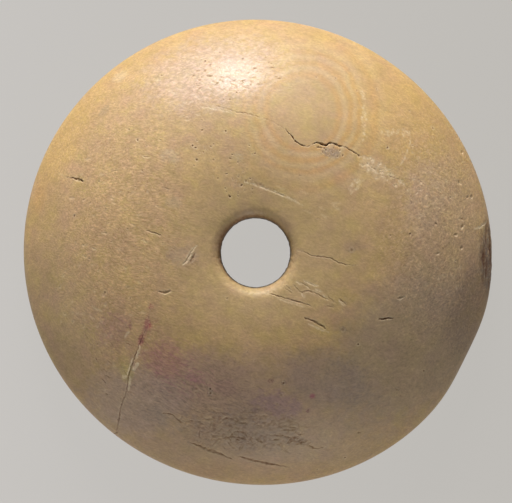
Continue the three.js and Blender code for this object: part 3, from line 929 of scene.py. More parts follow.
    def furrowed(self, tree: Tree, noise: Source, given: Sockets, patch: Source) -> dict[str, Node]:
        """The furrows of the porous patch, which hold dirt.

        Args:
            tree: the tree.
            noise: the noise that they follow.
            given: the tree's inputs.
            patch: how far inside the patch a point is.

        Returns:
            The depth and the dirt.
        """
        none, full = self.furrow_levels
        furrow = add_node(
            tree, "ShaderNodeMapRange", {"Value": noise, "From Min": none, "From Max": full})
        furrow = add_node(tree, "ShaderNodeMath", {0: furrow, 1: patch}, operation="MULTIPLY")
        return {
            name: add_node(
                tree, "ShaderNodeMath", {0: furrow, 1: given[f"Furrow {name}"]}, operation="MULTIPLY")
            for name in ("depth", "dirt")}

    def folded(self, tree: Tree, noise: Source, given: Sockets,
               whole: Source, glint: Source, web: Source) -> dict[str, Node]:
        """The fine wrinkles of the glint and of the web, which run where a noise is at its middle level.

        Args:
            tree: the tree.
            noise: the noise that they follow.
            given: the tree's inputs.
            whole: 0 where a wrinkle has a gap, and else 1.
            glint: how far inside the glint a point is.
            web: how far inside the web it is, where alone the wrinkles hold dirt.

        Returns:
            The depth and the dirt.
        """
        away = add_node(tree, "ShaderNodeMath", {0: noise, 1: 0.5}, operation="SUBTRACT")
        away = add_node(tree, "ShaderNodeMath", {0: away}, operation="ABSOLUTE")
        fold = add_node(
            tree, "ShaderNodeMapRange", {"Value": away, "From Min": self.fold_half_width, "From Max": 0.0},
            interpolation_type="SMOOTHSTEP")
        fold = add_node(tree, "ShaderNodeMath", {0: fold, 1: whole}, operation="MULTIPLY")
        dirt = add_node(tree, "ShaderNodeMath", {0: fold, 1: web}, operation="MULTIPLY")
        dirt = add_node(tree, "ShaderNodeMath", {0: dirt, 1: given["Wrinkle dirt"]}, operation="MULTIPLY")
        deepest = add_node(tree, "ShaderNodeMath", {0: glint, 1: web}, operation="MAXIMUM")
        deepest = add_node(
            tree, "ShaderNodeMath", {0: deepest, 1: given["Wrinkle depth"]}, operation="MULTIPLY")
        depth = add_node(tree, "ShaderNodeMath", {0: fold, 1: deepest}, operation="MULTIPLY")
        return {"depth": depth, "dirt": dirt}

    def told(self, tree: Tree, surface: Source, carved: list[dict[str, Node]],
             shares: dict[str, Source]) -> Source:
        """Stores on the surface what the material has to know.

        Args:
            tree: the tree.
            surface: the surface.
            carved: what each kind of mark does, of which the strongest dirt and paleness count.
            shares: the other values to store.

        Returns:
            The surface with an attribute for each value.
        """
        values = dict(shares)
        for name in ("dirt", "pale"):
            found = [marks[name] for marks in carved if name in marks]
            values[name] = found[0]
            for other in found[1:]:
                values[name] = add_node(
                    tree, "ShaderNodeMath", {0: values[name], 1: other}, operation="MAXIMUM")
        for name, value in values.items():
            surface = add_node(
                tree, "GeometryNodeStoreNamedAttribute", {"Geometry": surface, "Name": name, "Value": value},
                data_type="FLOAT", domain="POINT")
        return surface

    def zone_share(self, tree: Tree, strayed: Source, given: Sockets, zone: str) -> Node:
        """How far inside a zone a point is.

        Args:
            tree: the tree.
            strayed: where the surface point is taken to be.
            given: the tree's inputs.
            zone: the zone's name among them.

        Returns:
            The share, from 0 outside to 1 in its middle.
        """
        away = add_node(
            tree, "ShaderNodeVectorMath", {0: strayed, 1: given[f"{zone} centre"]}, operation="SUBTRACT")
        shares = add_node(
            tree, "ShaderNodeVectorMath", {0: away, 1: given[f"{zone} reach"]}, operation="DIVIDE")
        length = add_node(tree, "ShaderNodeVectorMath", {0: shares}, operation="LENGTH")
        return add_node(
            tree, "ShaderNodeMapRange", {"Value": length, "From Min": 1.0, "From Max": self.zone_core},
            interpolation_type="SMOOTHSTEP")

    def hole_wear(self, tree: Tree, strayed: Source, given: Sockets, chips: Source) -> dict[str, Node]:
        """The spindle's wear in the hole: a chipped wall, with dirt and painted shade on the wall and the
        upper left lip.

        Args:
            tree: the tree.
            strayed: where the surface point is taken to be.
            given: the tree's inputs.
            chips: the noise that the chips follow.

        Returns:
            The depth of the chips, and the dirt with painted shade.
        """
        radii = []
        for axis in ("Hole axis", "Dirt axis"):
            away = add_node(
                tree, "ShaderNodeVectorMath", {0: strayed, 1: given[axis]}, operation="SUBTRACT")
            flat = add_node(
                tree, "ShaderNodeVectorMath", {0: away, 1: (1.0, 1.0, 0.0)}, operation="MULTIPLY")
            radii.append(add_node(tree, "ShaderNodeVectorMath", {0: flat}, operation="LENGTH"))
        wall = add_node(
            tree, "ShaderNodeMapRange",
            {"Value": radii[0], "From Min": given["Lip radius"], "From Max": given["Hole radius"],
             "To Max": given["Chips"]})
        none, full = self.bite_levels
        bites = add_node(tree, "ShaderNodeMapRange", {"Value": chips, "From Min": none, "From Max": full})
        depth = add_node(tree, "ShaderNodeMath", {0: wall, 1: bites}, operation="MULTIPLY")
        # Dirt on the wall and lip, darker towards the upper left: partly painted shade
        edge = add_node(
            tree, "ShaderNodeMath", {0: given["Hole radius"], 1: given["Dirt reach"]}, operation="ADD")
        dirt = add_node(
            tree, "ShaderNodeMapRange",
            {"Value": radii[1], "From Min": edge, "From Max": given["Hole radius"],
             "To Max": self.wall_dirt})
        return {"depth": depth, "dirt": dirt}

    def pores(self, tree: Tree, given: Sockets, patch: Source) -> Node:
        """Scatters pores over the porous patch, thinner towards its edge.

        Args:
            tree: the tree.
            given: the tree's inputs.
            patch: how far inside the patch a point is.

        Returns:
            Points that carry the columns of a mark.
        """
        densest = 1 / (self.patch.pore_spacing * METRES) ** 2
        scattered: Source = add_node(
            tree, "GeometryNodeDistributePointsOnFaces",
            {"Mesh": given["Form"], "Distance Min": given["Pore spacing"], "Density Max": densest,
             "Density Factor": patch, "Seed": given["Seed"]}, distribute_method="POISSON")
        size = add_node(
            tree, "FunctionNodeRandomValue",
            {"Min": self.smallest_pore, "Max": 1.0, "Seed": given["Seed"]}, data_type="FLOAT")
        columns = {
            "half_width": add_node(
                tree, "ShaderNodeMath", {0: given["Pore radius"], 1: size}, operation="MULTIPLY"),
            "depth": add_node(
                tree, "ShaderNodeMath", {0: given["Pore depth"], 1: size}, operation="MULTIPLY"),
            "dirt": self.patch.pore_dirt,
            "pale": self.patch.pore_pale,
            "broken": 0.0,
        }
        for name in MARK_COLUMNS:
            scattered = add_node(
                tree, "GeometryNodeStoreNamedAttribute",
                {"Geometry": scattered, "Name": name, "Value": columns[name]}, data_type="FLOAT",
                domain="POINT")
        return scattered

    def carved(self, tree: Tree, marks: Source, target: str, strayed: Source,
               whole: Source) -> dict[str, Node]:
        """What the nearest mark does to a point of the surface.

        Args:
            tree: the tree.
            marks: the points that carry the columns of a mark.
            target: "EDGES" for cracks or "POINTS" for pits and pores.
            strayed: where the surface point is taken to be.
            whole: 0 where a broken mark leaves a gap, and else 1.

        Returns:
            The depth of the cut, the dirt and the paleness.
        """
        distance = add_node(
            tree, "GeometryNodeProximity", {"Geometry": marks, "Sample Position": strayed},
            target_element=target).outputs["Distance"]
        nearest = add_node(
            tree, "GeometryNodeSampleNearest", {"Geometry": marks, "Sample Position": strayed})
        read = {}
        for name in MARK_COLUMNS:
            column = add_node(tree, "GeometryNodeInputNamedAttribute", {"Name": name})
            read[name] = add_node(
                tree, "GeometryNodeSampleIndex", {"Geometry": marks, "Value": column, "Index": nearest})
        share = add_node(tree, "ShaderNodeMath", {0: distance, 1: read["half_width"]}, operation="DIVIDE")
        kept = add_node(tree, "ShaderNodeMix", {0: read["broken"], 1: 1.0, 2: whole}, data_type="FLOAT")
        results = {}
        for name, outer, inner in self.mark_edges:
            mask = add_node(
                tree, "ShaderNodeMapRange", {"Value": share, "From Min": outer, "From Max": inner},
                interpolation_type="SMOOTHSTEP")
            mask = add_node(tree, "ShaderNodeMath", {0: mask, 1: kept}, operation="MULTIPLY")
            results[name] = add_node(
                tree, "ShaderNodeMath", {0: mask, 1: read[name]}, operation="MULTIPLY")
        return results

    def carve(self, body: bpy.types.Object, lines: bpy.types.Object, pits: bpy.types.Object,
              material: bpy.types.Material) -> bpy.types.Mesh:
        """Runs the tree on a body.

        Args:
            body: the object with the smooth form.
            lines: the cracks' helper.
            pits: the pits' helper.
            material: the finish.

        Returns:
            The carved surface as a plain mesh.
        """
        tree = self.tree()
        form = self.form
        patch = self.patch
        lengths = {
            "Allowance": self.allowance,
            "Wrinkle depth": self.wrinkle_depth,
            "Pore spacing": patch.pore_spacing,
            "Pore radius": patch.pore_radius,
            "Pore depth": patch.pore_depth,
            "Furrow depth": patch.furrow_depth,
            "Hole axis": (form.hole_offset, 0.0, 0.0),
            "Dirt axis": (form.hole_offset + self.wall_dirt_shift[0], self.wall_dirt_shift[1], 0.0),
            "Hole radius": form.hole_top_radius,
            "Lip radius": form.hole_top_radius + form.hole_lip_radius,
            "Dirt reach": self.wall_dirt_reach,
            "Undulation": self.undulation.amount,
            "Wander": self.wander.amount,
            "Chips": self.chips.amount,
            "Undulation size": self.undulation.size,
            "Wander size": self.wander.size,
            "Gaps size": self.gaps.size,
            "Chips size": self.chips.size,
            "Furrows size": self.furrows.size,
            "Wrinkles size": self.wrinkles.size,
        }
        for name, zone in (("Patch", patch.zone), ("Glint", self.glint), ("Web", self.web)):
            lengths |= {f"{name} centre": zone.centre, f"{name} reach": zone.reach}
        values: dict[str, Any] = {
            "Crack lines": lines, "Pits": pits, "Seed": self.seed, "Material": material,
            "Wrinkle dirt": self.wrinkle_dirt, "Furrow dirt": self.patch.furrow_dirt}
        for name, length in lengths.items():
            parts = isinstance(length, tuple)
            values[name] = [part * METRES for part in length] if parts else length * METRES
        modifier = body.modifiers.new("worn_skin", "NODES")
        modifier.node_group = tree
        sockets = {item.name: item.identifier for item in tree.interface.items_tree}
        for name, value in values.items():
            modifier[sockets[name]] = value
        graph = bpy.context.evaluated_depsgraph_get()
        mesh = bpy.data.meshes.new_from_object(body.evaluated_get(graph), depsgraph=graph)
        body.modifiers.remove(modifier)
        return mesh


@dataclass(frozen=True)
class Stain:
    """A soft-edged discoloured area of the dome."""

    area: Area
    colour: str
    strength: float
    break_up: float = 0.6  # how far it is broken up into blotches


STAINS = (
    # The lower third: painted shade, greyish and purplish where it looks away from the light, browner at the
    # rim
    Stain(Area(-2.0, -15.5, 18.0, 8.3), "#957e6a", 0.52, 0.3),
    Stain(Area(0.3, -16.3, 4.5, 4.0), "#7b6a5b", 0.3, 0.3),
    Stain(Area(6.3, -11.8, 5.5, 3.4, -15.0), "#857268", 0.5, 0.3),
    Stain(Area(9.5, -18.2, 4.5, 2.0, 35.0), "#ab906b", 0.5, 0.3),
    Stain(Area(-1.0, -21.2, 13.0, 2.4), "#a98355", 0.22, 0.3),
    Stain(Area(-17.6, -10.6, 5.0, 2.0, -58.0), "#8c7455", 0.35, 0.3),
    # Painted sheen at the top left, paler and pinker round the glint; a smooth yellow band along the upper
    # left rim, a painted glow of light through its thin edge; and an amber spot on it
    Stain(Area(-5.0, 16.8, 9.0, 5.0, 15.0), "#b49c8a", 0.42, 0.8),
    Stain(Area(-18.2, 10.6, 6.0, 1.9, 60.0), "#b39556", 0.4, 0.15),
    Stain(Area(-20.6, 5.0, 2.2, 0.9, 80.0), "#b98a50", 0.25, 0.5),
    # The brown-grey band on the hole's upper left lip: painted shade where the lip slopes away from the
    # light, with grime
    Stain(Area(-0.95, 0.75, 3.6, 3.6), "#825f66", 0.52, 0.2),
    # Plainer, yellower bone round the hole, and golden bone at the upper right
    Stain(Area(0.0, 0.0, 12.0, 9.0), "#a8956b", 0.25, 0.2),
    Stain(Area(12.5, 12.5, 6.0, 7.0, 45.0), "#b5924d", 0.3, 0.4),
    # The pink stain of the lower left, grey at its edge, in patches
    Stain(Area(-5.0, -12.4, 10.0, 4.6, -10.0), "#8f7468", 0.4, 0.6),
    Stain(Area(-11.5, -13.8, 6.5, 4.5), "#9b877a", 0.52, 0.4),
    Stain(Area(-8.8, -10.2, 3.2, 2.4, -35.0), "#93665c", 0.55, 0.7),
    Stain(Area(-8.4, -8.6, 1.6, 0.9), "#95666b", 0.4, 0.8),
    Stain(Area(-6.0, -11.8, 1.7, 0.7, -20.0), "#97626d", 0.55, 0.8),
    Stain(Area(-3.1, -12.6, 2.0, 1.3, -10.0), "#8c6a61", 0.4, 0.8),
    Stain(Area(2.0, -14.2, 3.6, 2.0, -10.0), "#84646a", 0.5, 0.8),
    Stain(Area(-13.4, -7.3, 2.2, 2.8), "#936f63", 0.45, 0.7),
    # Spots of red pigment on the long crack, and one magenta dot
    Stain(Area(-10.05, -5.05, 0.42, 0.5), "#8a4a48", 0.8, 0.9),
    Stain(Area(-10.3, -6.75, 0.5, 0.85, 10.0), "#8f3442", 0.95, 0.7),
    Stain(Area(-10.6, -7.2, 0.4, 2.4, -15.0), "#8a504e", 0.5, 0.6),
    Stain(Area(-11.0, -8.2, 0.45, 0.9, -15.0), "#7a2f38", 0.95, 0.6),
    Stain(Area(-9.6, -6.4, 0.5, 0.25, 30.0), "#7d4a44", 0.6, 0.8),
    Stain(Area(-12.0, -6.8, 0.3, 0.8), "#7f4c50", 0.6, 0.8),
    Stain(Area(5.1, -13.45, 0.42, 0.38), "#914a58", 0.85, 0.5),
    Stain(Area(4.7, -14.8, 0.45, 0.3), "#713846", 0.7, 0.8),
    # Soft brown spots round the pits of the lower part
    Stain(Area(1.2, -12.0, 0.5, 0.35, 20.0), "#6d4438", 0.7, 0.7),
    Stain(Area(2.4, -12.2, 0.45, 0.35), "#5d4436", 0.7, 0.7),
    Stain(Area(2.15, -13.1, 0.4, 0.3), "#6a4f44", 0.5, 0.7),
    Stain(Area(-0.2, -14.8, 0.5, 0.5), "#6a5046", 0.6, 0.8),
    Stain(Area(-4.5, -13.0, 0.4, 0.7), "#604a44", 0.6, 0.8),
    Stain(Area(-6.0, -12.7, 0.35, 0.35), "#6a5046", 0.6, 0.7),
    Stain(Area(-1.4, -17.4, 1.1, 0.7), "#6d5c4e", 0.6, 0.9),
    Stain(Area(3.9, -17.6, 1.2, 0.6, -20.0), "#6a594b", 0.6, 0.9),
    # Yellowish bone beside the long crack, and grey below it
    Stain(Area(-12.4, -11.0, 1.0, 2.0, 12.0), "#a89858", 0.6, 0.7),
    Stain(Area(-12.3, -11.2, 0.5, 0.8, 12.0), "#c2b36c", 0.35, 0.8),
    Stain(Area(-9.7, -15.2, 2.4, 1.5, -20.0), "#7b6e5f", 0.35, 0.9),
    # The crumbled grey spall under the open crack, the flaked bone at its end, and bruises and pale
    # spots of the upper left, round the hole and on the right
    Stain(Area(6.9, 9.35, 1.3, 0.75, -15.0), "#82705f", 0.85, 0.6),
    Stain(Area(11.2, 7.8, 3.0, 1.3, -32.0), "#bda685", 0.45, 0.9),
    Stain(Area(5.4, 13.6, 4.2, 4.6), "#ab945f", 0.15, 0.3),
    Stain(Area(-8.3, 9.0, 1.4, 1.1), "#b8aa8e", 0.3, 0.9),
    Stain(Area(-1.9, 9.0, 0.9, 0.8), "#a0937e", 0.45, 0.8),
    Stain(Area(-8.0, 4.7, 1.2, 0.9), "#b3a58c", 0.35, 0.8),
    Stain(Area(-14.4, 13.4, 1.2, 0.5, 45.0), "#847660", 0.5, 0.7),
    Stain(Area(-13.0, 16.6, 1.4, 0.7, 35.0), "#c9bb9d", 0.35, 0.7),
    Stain(Area(-7.2, -0.3, 2.4, 1.6), "#a08a7a", 0.4, 0.8),
    Stain(Area(-6.2, -0.7, 0.9, 0.9), "#7c6450", 0.5, 0.9),
    Stain(Area(-8.3, -0.4, 0.6, 0.5), "#8a7260", 0.5, 0.9),
    Stain(Area(8.0, -7.2, 0.6, 0.5, -10.0), "#6a5540", 0.7, 0.7),
    Stain(Area(8.8, 0.3, 0.7, 0.5), "#7d6a50", 0.6, 0.8),
    Stain(Area(9.0, 0.7, 2.0, 1.0, 25.0), "#8b735c", 0.45, 0.9),
    Stain(Area(15.5, 5.0, 3.2, 6.0), "#b39b84", 0.35, 0.9),
    # Grime at the bottom, and the duller right side down to the lower right
    Stain(Area(-2.5, -17.0, 9.0, 2.8, -6.0), "#7b6c5d", 0.35, 0.9),
    Stain(Area(17.5, 0.5, 5.5, 11.0, -12.0), "#a38c74", 0.4, 0.4),
    Stain(Area(14.0, -9.0, 8.0, 11.0, -35.0), "#877a6d", 0.45, 0.3),
    # Painted shade, brown, where the rim below the porous patch rolls away from the light
    Stain(Area(20.8, -5.5, 3.4, 6.5, -12.0), "#655146", 0.5, 0.1),
    Stain(Area(17.8, -10.2, 3.0, 5.0, -30.0), "#85745f", 0.35, 0.3),
)


@dataclass(frozen=True)
class Texture:
    """A random lightening and darkening of the colour, over the whole dome or parts of it."""

    along: float
    across: float
    strength: float
    direction: float = 0.0
    areas: tuple[Area, ...] = ()
    everywhere: float = 1.0  # the share of its strength that it keeps outside the areas


SMOOTH_OVAL = Area(5.3, 13.0, 7.0, 7.5)

TEXTURES = (
    # Soft patches and fibres over the whole dome, the fibres fainter where it is smooth
    Texture(6.0, 6.0, 0.06),
    Texture(2.2, 1.6, 0.06),
    Texture(0.9, 0.45, 0.045, -16.0, (SMOOTH_OVAL,), 2.0),
    Texture(0.28, 0.17, 0.055, -16.0, (
        SMOOTH_OVAL, Area(5.0, 2.0, 9.0, 12.0), Area(-3.0, 1.0, 9.0, 9.0)), 1.43),
    # Streaks of the left half, the pink stain, the lower right, the glint and the right side
    Texture(0.8, 0.17, 0.13, -12.0, (Area(-13.0, 0.0, 9.5, 21.0),), 0.2),
    Texture(0.7, 0.2, 0.2, -25.0, (Area(-8.0, -13.0, 10.0, 6.0),), 0.0),
    Texture(0.5, 0.3, 0.09, 0.0, (Area(12.0, -11.0, 8.0, 8.0),), 0.0),
    Texture(0.4, 0.25, 0.12, -10.0, (Area(-4.0, 16.0, 9.0, 5.0),), 0.0),
    Texture(0.35, 0.2, 0.22, 30.0, (Area(17.5, 0.0, 7.0, 13.0, -12.0),), 0.15),
)


@dataclass(frozen=True)
class Flecks:
    """Small drawn-out spots of another colour, scattered over an area along the fibres."""

    area: Area
    colour: str
    strength: float
    along: float
    across: float
    direction: float
    sparse: float = 0.5  # the level that the noise must pass; about half of the area passes 0.5


FLECKS = (
    # Where the fibres are cut open they scatter light, and look pinker and paler than the bone round them
    Flecks(Area(-13.0, 3.0, 9.5, 19.0), "#c7a47e", 0.5, 0.6, 0.18, -10.0, 0.5),
    Flecks(Area(-13.0, 3.0, 9.5, 19.0), "#87603a", 0.5, 0.35, 0.15, -14.0, 0.56),
    Flecks(Area(16.0, 2.0, 7.0, 13.0), "#c5a682", 0.5, 0.4, 0.25, 35.0, 0.53),
    Flecks(Area(16.0, 2.0, 7.0, 13.0), "#84644a", 0.45, 0.3, 0.2, 35.0, 0.56),
    # Over the top left these pale flecks also paint the speckled sheen round the glint
    Flecks(Area(-4.0, 16.8, 9.5, 4.2, 10.0), "#c9aa94", 0.5, 0.5, 0.25, 25.0, 0.5),
    # The pink stain and the grime keep to the fibres
    Flecks(Area(-7.8, -10.6, 5.5, 3.6, -30.0), "#99606a", 0.4, 0.9, 0.2, -28.0, 0.52),
    Flecks(Area(-14.0, -7.2, 3.4, 3.6), "#97686a", 0.35, 0.8, 0.2, -30.0, 0.53),
    Flecks(Area(-3.0, -14.5, 9.0, 4.0, -8.0), "#6c5649", 0.45, 0.8, 0.25, -25.0, 0.55),
)


@dataclass(frozen=True)
class PolishedBone:
    """Bone or ivory, ground, polished by hand and aged.

    To the eye it is a warm honey tan with a satin gloss. Light enters it a little, so edges glow and
    shadows are soft. Fibres and growth layers show as faint streaks and rings, and dirt sits in every pore.
    """

    honey: str = "#aa925c"
    rose_tan: str = "#a98b67"
    dirt: str = "#5a2e14"
    chip: str = "#d6c5a4"
    sponge: str = "#4a4245"
    # Painted glow: the amber of light shining through the thin upper rim, on the side towards the lamps
    rim_tint: str = "#b8924f"
    small_stain: float = 1.0  # stains narrower than this have finer edges
    small_stain_softness: float = 0.85  # share of the way to its middle over which a stain grows strong
    stain_softness: float = 0.55
    fleck_edge: float = 0.08  # rise of the noise over which a fleck gains its strength
    pigment_patch: float = 1.7  # size of the patches of the two ground colours
    area_edge: Plan = (1.15, 0.2)  # shares of its reach at which an area ends and is at its full strength
    any_height: float = 1000.0  # as a scale along Z, it makes an oval on the plan a pillar
    noise_levels: Plan = (0.3, 0.7)  # nearly all of a noise lies between them
    blotch_scale: float = 1.3
    speck_scale: float = 4.5
    grain_scale: float = 4.0
    rim_tint_radii: Plan = (19.0, 21.5)  # between them the painted glow of light through the thin rim comes in
    rim_tint_rise: Plan = (-2.0, 6.0)  # and between these, up the picture, towards the lamps
    rim_tint_strength: float = 0.3
    mark_levels: Plan = (0.35, 0.55)  # of the specks' noise, between which dirt goes from thin to full
    mark_share: float = 0.45  # how much of it is left where it is thin
    mark_strengths: tuple[float, float, float] = (0.72, 0.8, 1.0)  # sponge, chips and dirt
    roughness: Plan = (0.64, 0.78)  # from patch to patch
    sponge_roughness: float = 0.75
    dirt_roughness: float = 0.9
    refraction: float = 1.5
    polish: float = 0.25
    polish_roughness: float = 0.4
    glint_polish: float = 0.35  # rubbed brighter by handling
    glint_roughness: float = 0.22
    subsurface: float = 0.2
    light_reach: tuple[float, float, float] = (0.8, 0.55, 0.35)  # how far red, green and blue travel inside
    layers: Area = Area(4.2, 13.2, 1.0, 1.05)  # the rings' centre and proportions
    layer_area: Area = Area(6.0, 12.5, 9.0, 9.0)  # where they show
    layer_bands: tuple[tuple[str, float, tuple[Plan, ...]], ...] = (  # strength, distances, half widths
        ("#b98b4c", 0.42, ((3.4, 0.5), (4.45, 0.5), (5.4, 0.35), (6.9, 0.6))),
        ("#c4ab84", 0.34, ((3.95, 0.4), (4.95, 0.4), (5.95, 0.45), (7.6, 0.6))))
    veil: float = 0.5  # mirror strength of the bone itself, as the shader counts it
    dirt_veil: float = 0.05
    bend: float = 1.1  # how far noise bends the fibres and layers
    bend_size: float = 3.0
    relief: float = 0.006
    streak_relief: float = 4.5  # how much lower a darker streak lies, against the grain's own relief

    def build(self) -> bpy.types.Material:
        """Builds the material.

        Returns:
            The material.
        """
        material = bpy.data.materials.new("hand_polished_bone")
        material.use_nodes = True
        tree = material.node_tree
        tree.nodes.clear()
        coordinates = add_node(tree, "ShaderNodeTexCoord").outputs["Object"]
        place = add_node(
            tree, "ShaderNodeVectorMath", {0: coordinates, "Scale": MILLIMETRES}, operation="SCALE")
        wavy = self.wavy(tree, place)
        blotches = add_node(
            tree, "ShaderNodeTexNoise",
            {"Vector": place, "Scale": self.blotch_scale, "Detail": 6.0, "Roughness": 0.7})
        specks = add_node(
            tree, "ShaderNodeTexNoise",
            {"Vector": place, "Scale": self.speck_scale, "Detail": 3.0, "Roughness": 0.6})

        colour = self.aged(tree, place, wavy, blotches, specks)
        shade: Source | float = 1.0
        for texture in TEXTURES:
            shade = self.textured(tree, shade, wavy, place, texture)
        colour = add_node(tree, "ShaderNodeVectorMath", {0: colour, "Scale": shade}, operation="SCALE")

        # The dirt attribute also carries painted shade on the hole's wall and its upper left lip
        marks = {name: add_node(tree, "ShaderNodeAttribute", attribute_name=name).outputs["Fac"]
                 for name in ("porous", "pale", "dirt", "glint")}
        colour = self.marked(tree, colour, marks, specks)
        grain = add_node(
            tree, "ShaderNodeTexNoise", {"Vector": place, "Scale": self.grain_scale, "Detail": 3.0})
        grain = add_node(
            tree, "ShaderNodeMath", {0: shade, 1: self.streak_relief, 2: grain}, operation="MULTIPLY_ADD")
        dull = self.ramp(tree, blotches, *self.noise_levels, *self.roughness)
        for name, rough in (("porous", self.sponge_roughness), ("dirt", self.dirt_roughness)):
            dull = add_node(tree, "ShaderNodeMix", {0: marks[name], 1: dull, 2: rough}, data_type="FLOAT")
        clean = add_node(tree, "ShaderNodeMath", {0: 1.0, 1: marks["dirt"]}, operation="SUBTRACT")
        polish = add_node(
            tree, "ShaderNodeMapRange",
            {"Value": marks["glint"], "To Min": self.polish, "To Max": self.glint_polish}, clamp=False)
        surface = add_node(tree, "ShaderNodeBsdfPrincipled", {
            "Base Color": colour,
            "Roughness": dull,
            "IOR": self.refraction,
            "Specular IOR Level": add_node(
                tree, "ShaderNodeMapRange", {"Value": clean, "To Min": self.dirt_veil, "To Max": self.veil},
                clamp=False),
            "Coat Weight": add_node(tree, "ShaderNodeMath", {0: polish, 1: clean}, operation="MULTIPLY"),
            "Coat Roughness": add_node(
                tree, "ShaderNodeMapRange",
                {"Value": marks["glint"], "To Min": self.polish_roughness, "To Max": self.glint_roughness},
                clamp=False),
            "Subsurface Weight": self.subsurface,
            "Subsurface Radius": self.light_reach,
            "Subsurface Scale": METRES,
            "Normal": add_node(
                tree, "ShaderNodeBump",
                {"Strength": 1.0, "Distance": self.relief * METRES, "Height": grain}),
        })
        add_node(tree, "ShaderNodeOutputMaterial", {"Surface": surface})
        return material

    def aged(self, tree: Tree, place: Source, wavy: Source, blotches: Source, specks: Source) -> Source:
        """The colour of the bone with its growth layers, stains and flecks.

        Args:
            tree: the tree.
            place: the place.
            wavy: the bent place.
            blotches: the noise that breaks up large stains.
            specks: the noise that breaks up small ones.

        Returns:
            The colour.
        """
        colour = self.layered(tree, self.ground_colour(tree, place), wavy, place)
        coarse = self.ramp(tree, blotches, *self.noise_levels, 0.0, 1.0)
        fine = self.ramp(tree, specks, *self.noise_levels, 0.0, 1.0)
        for stain in STAINS:
            small = stain.area.across < self.small_stain
            colour = self.stained(
                tree, colour, place, fine if small else coarse, stain,
                self.small_stain_softness if small else self.stain_softness)
        for flecks in FLECKS:
            colour = self.flecked(tree, colour, wavy, place, flecks)
        return colour

    def marked(self, tree: Tree, colour: Source, marks: dict[str, Source], specks: Source) -> Source:
        """Colours the porous patch, the chipped edges of marks and the dirt in them.

        Args:
            tree: the tree.
            colour: the colour so far.
            marks: how strong each of them is.
            specks: the noise that breaks them up.

        Returns:
            The colour.
        """
        uneven = self.ramp(tree, specks, *self.mark_levels, self.mark_share, 1.0)
        hues = (("porous", self.sponge), ("pale", self.chip), ("dirt", self.dirt))
        for (name, hue), strength in zip(hues, self.mark_strengths):
            amount = add_node(tree, "ShaderNodeMath", {0: marks[name], 1: uneven}, operation="MULTIPLY")
            amount = add_node(tree, "ShaderNodeMath", {0: amount, 1: strength}, operation="MULTIPLY")
            colour = add_node(
                tree, "ShaderNodeMix", {0: amount, 1: colour, 2: linear(hue)}, data_type="RGBA")
        return colour

    def wavy(self, tree: Tree, place: Source) -> Node:
        """Bends the place a little, because nothing that grew runs straight.

        Args:
            tree: the tree.
            place: the place.

        Returns:
            The bent place.
        """
        bends = add_node(
            tree, "ShaderNodeTexNoise", {"Vector": place, "Scale": 1 / self.bend_size, "Detail": 2.0})
        centred = add_node(
            tree, "ShaderNodeVectorMath", {0: bends.outputs["Color"], 1: (0.5, 0.5, 0.5)},
            operation="SUBTRACT")
        return add_node(
            tree, "ShaderNodeVectorMath", {0: centred, 1: (self.bend,) * 3, 2: place},
            operation="MULTIPLY_ADD")

    def ground_colour(self, tree: Tree, place: Source) -> Node:
        """The bone's own colour, patches of honey and rose tan, with a painted glow on the upper rim: amber
        where light shines through the thin edge.

        Args:
            tree: the tree.
            place: the place.

        Returns:
            The colour.
        """
        patches = add_node(
            tree, "ShaderNodeTexNoise", {"Vector": place, "Scale": 1 / self.pigment_patch, "Detail": 4.0})
        patches = self.ramp(tree, patches, *self.noise_levels, 0.0, 1.0)
        colour = add_node(
            tree, "ShaderNodeMix", {0: patches, 1: linear(self.honey), 2: linear(self.rose_tan)},
            data_type="RGBA")
        # The upper rim's amber is a painted glow of light through the thin edge
        flat = add_node(tree, "ShaderNodeVectorMath", {0: place, 1: (1.0, 1.0, 0.0)}, operation="MULTIPLY")
        out = add_node(tree, "ShaderNodeVectorMath", {0: flat}, operation="LENGTH")
        rim = self.ramp(tree, out, *self.rim_tint_radii, 0.0, self.rim_tint_strength)
        up = add_node(tree, "ShaderNodeSeparateXYZ", {0: place}).outputs["Y"]
        upper = self.ramp(tree, up, *self.rim_tint_rise, 0.0, 1.0)
        amount = add_node(tree, "ShaderNodeMath", {0: rim, 1: upper}, operation="MULTIPLY")
        return add_node(
            tree, "ShaderNodeMix", {0: amount, 1: colour, 2: linear(self.rim_tint)}, data_type="RGBA")

    def inside(self, tree: Tree, place: Source, area: Area) -> Node:
        """How far inside an area a place is: 1 in the middle, 0 outside, soft between.

        A gradient reads the mapped place, because Cycles keeps three numbers waiting between a Mapping
        and a Vector Math node, and for so many areas its memory for a shader wouldn't do.

        Args:
            tree: the tree.
            place: the place.
            area: the area.

        Returns:
            The share.
        """
        outer, inner = self.area_edge
        mapped = add_node(tree, "ShaderNodeMapping", {
            "Vector": place,
            "Location": (area.right, area.up, 0.0),
            "Rotation": Euler((0.0, 0.0, math.radians(area.direction))),
            "Scale": (area.along * outer, area.across * outer, self.any_height),
        }, vector_type="TEXTURE")
        depth = add_node(tree, "ShaderNodeTexGradient", {"Vector": mapped}, gradient_type="SPHERICAL")
        return add_node(
            tree, "ShaderNodeMapRange", {"Value": depth.outputs["Fac"], "From Max": 1 - inner / outer},
            interpolation_type="SMOOTHSTEP", clamp=False)

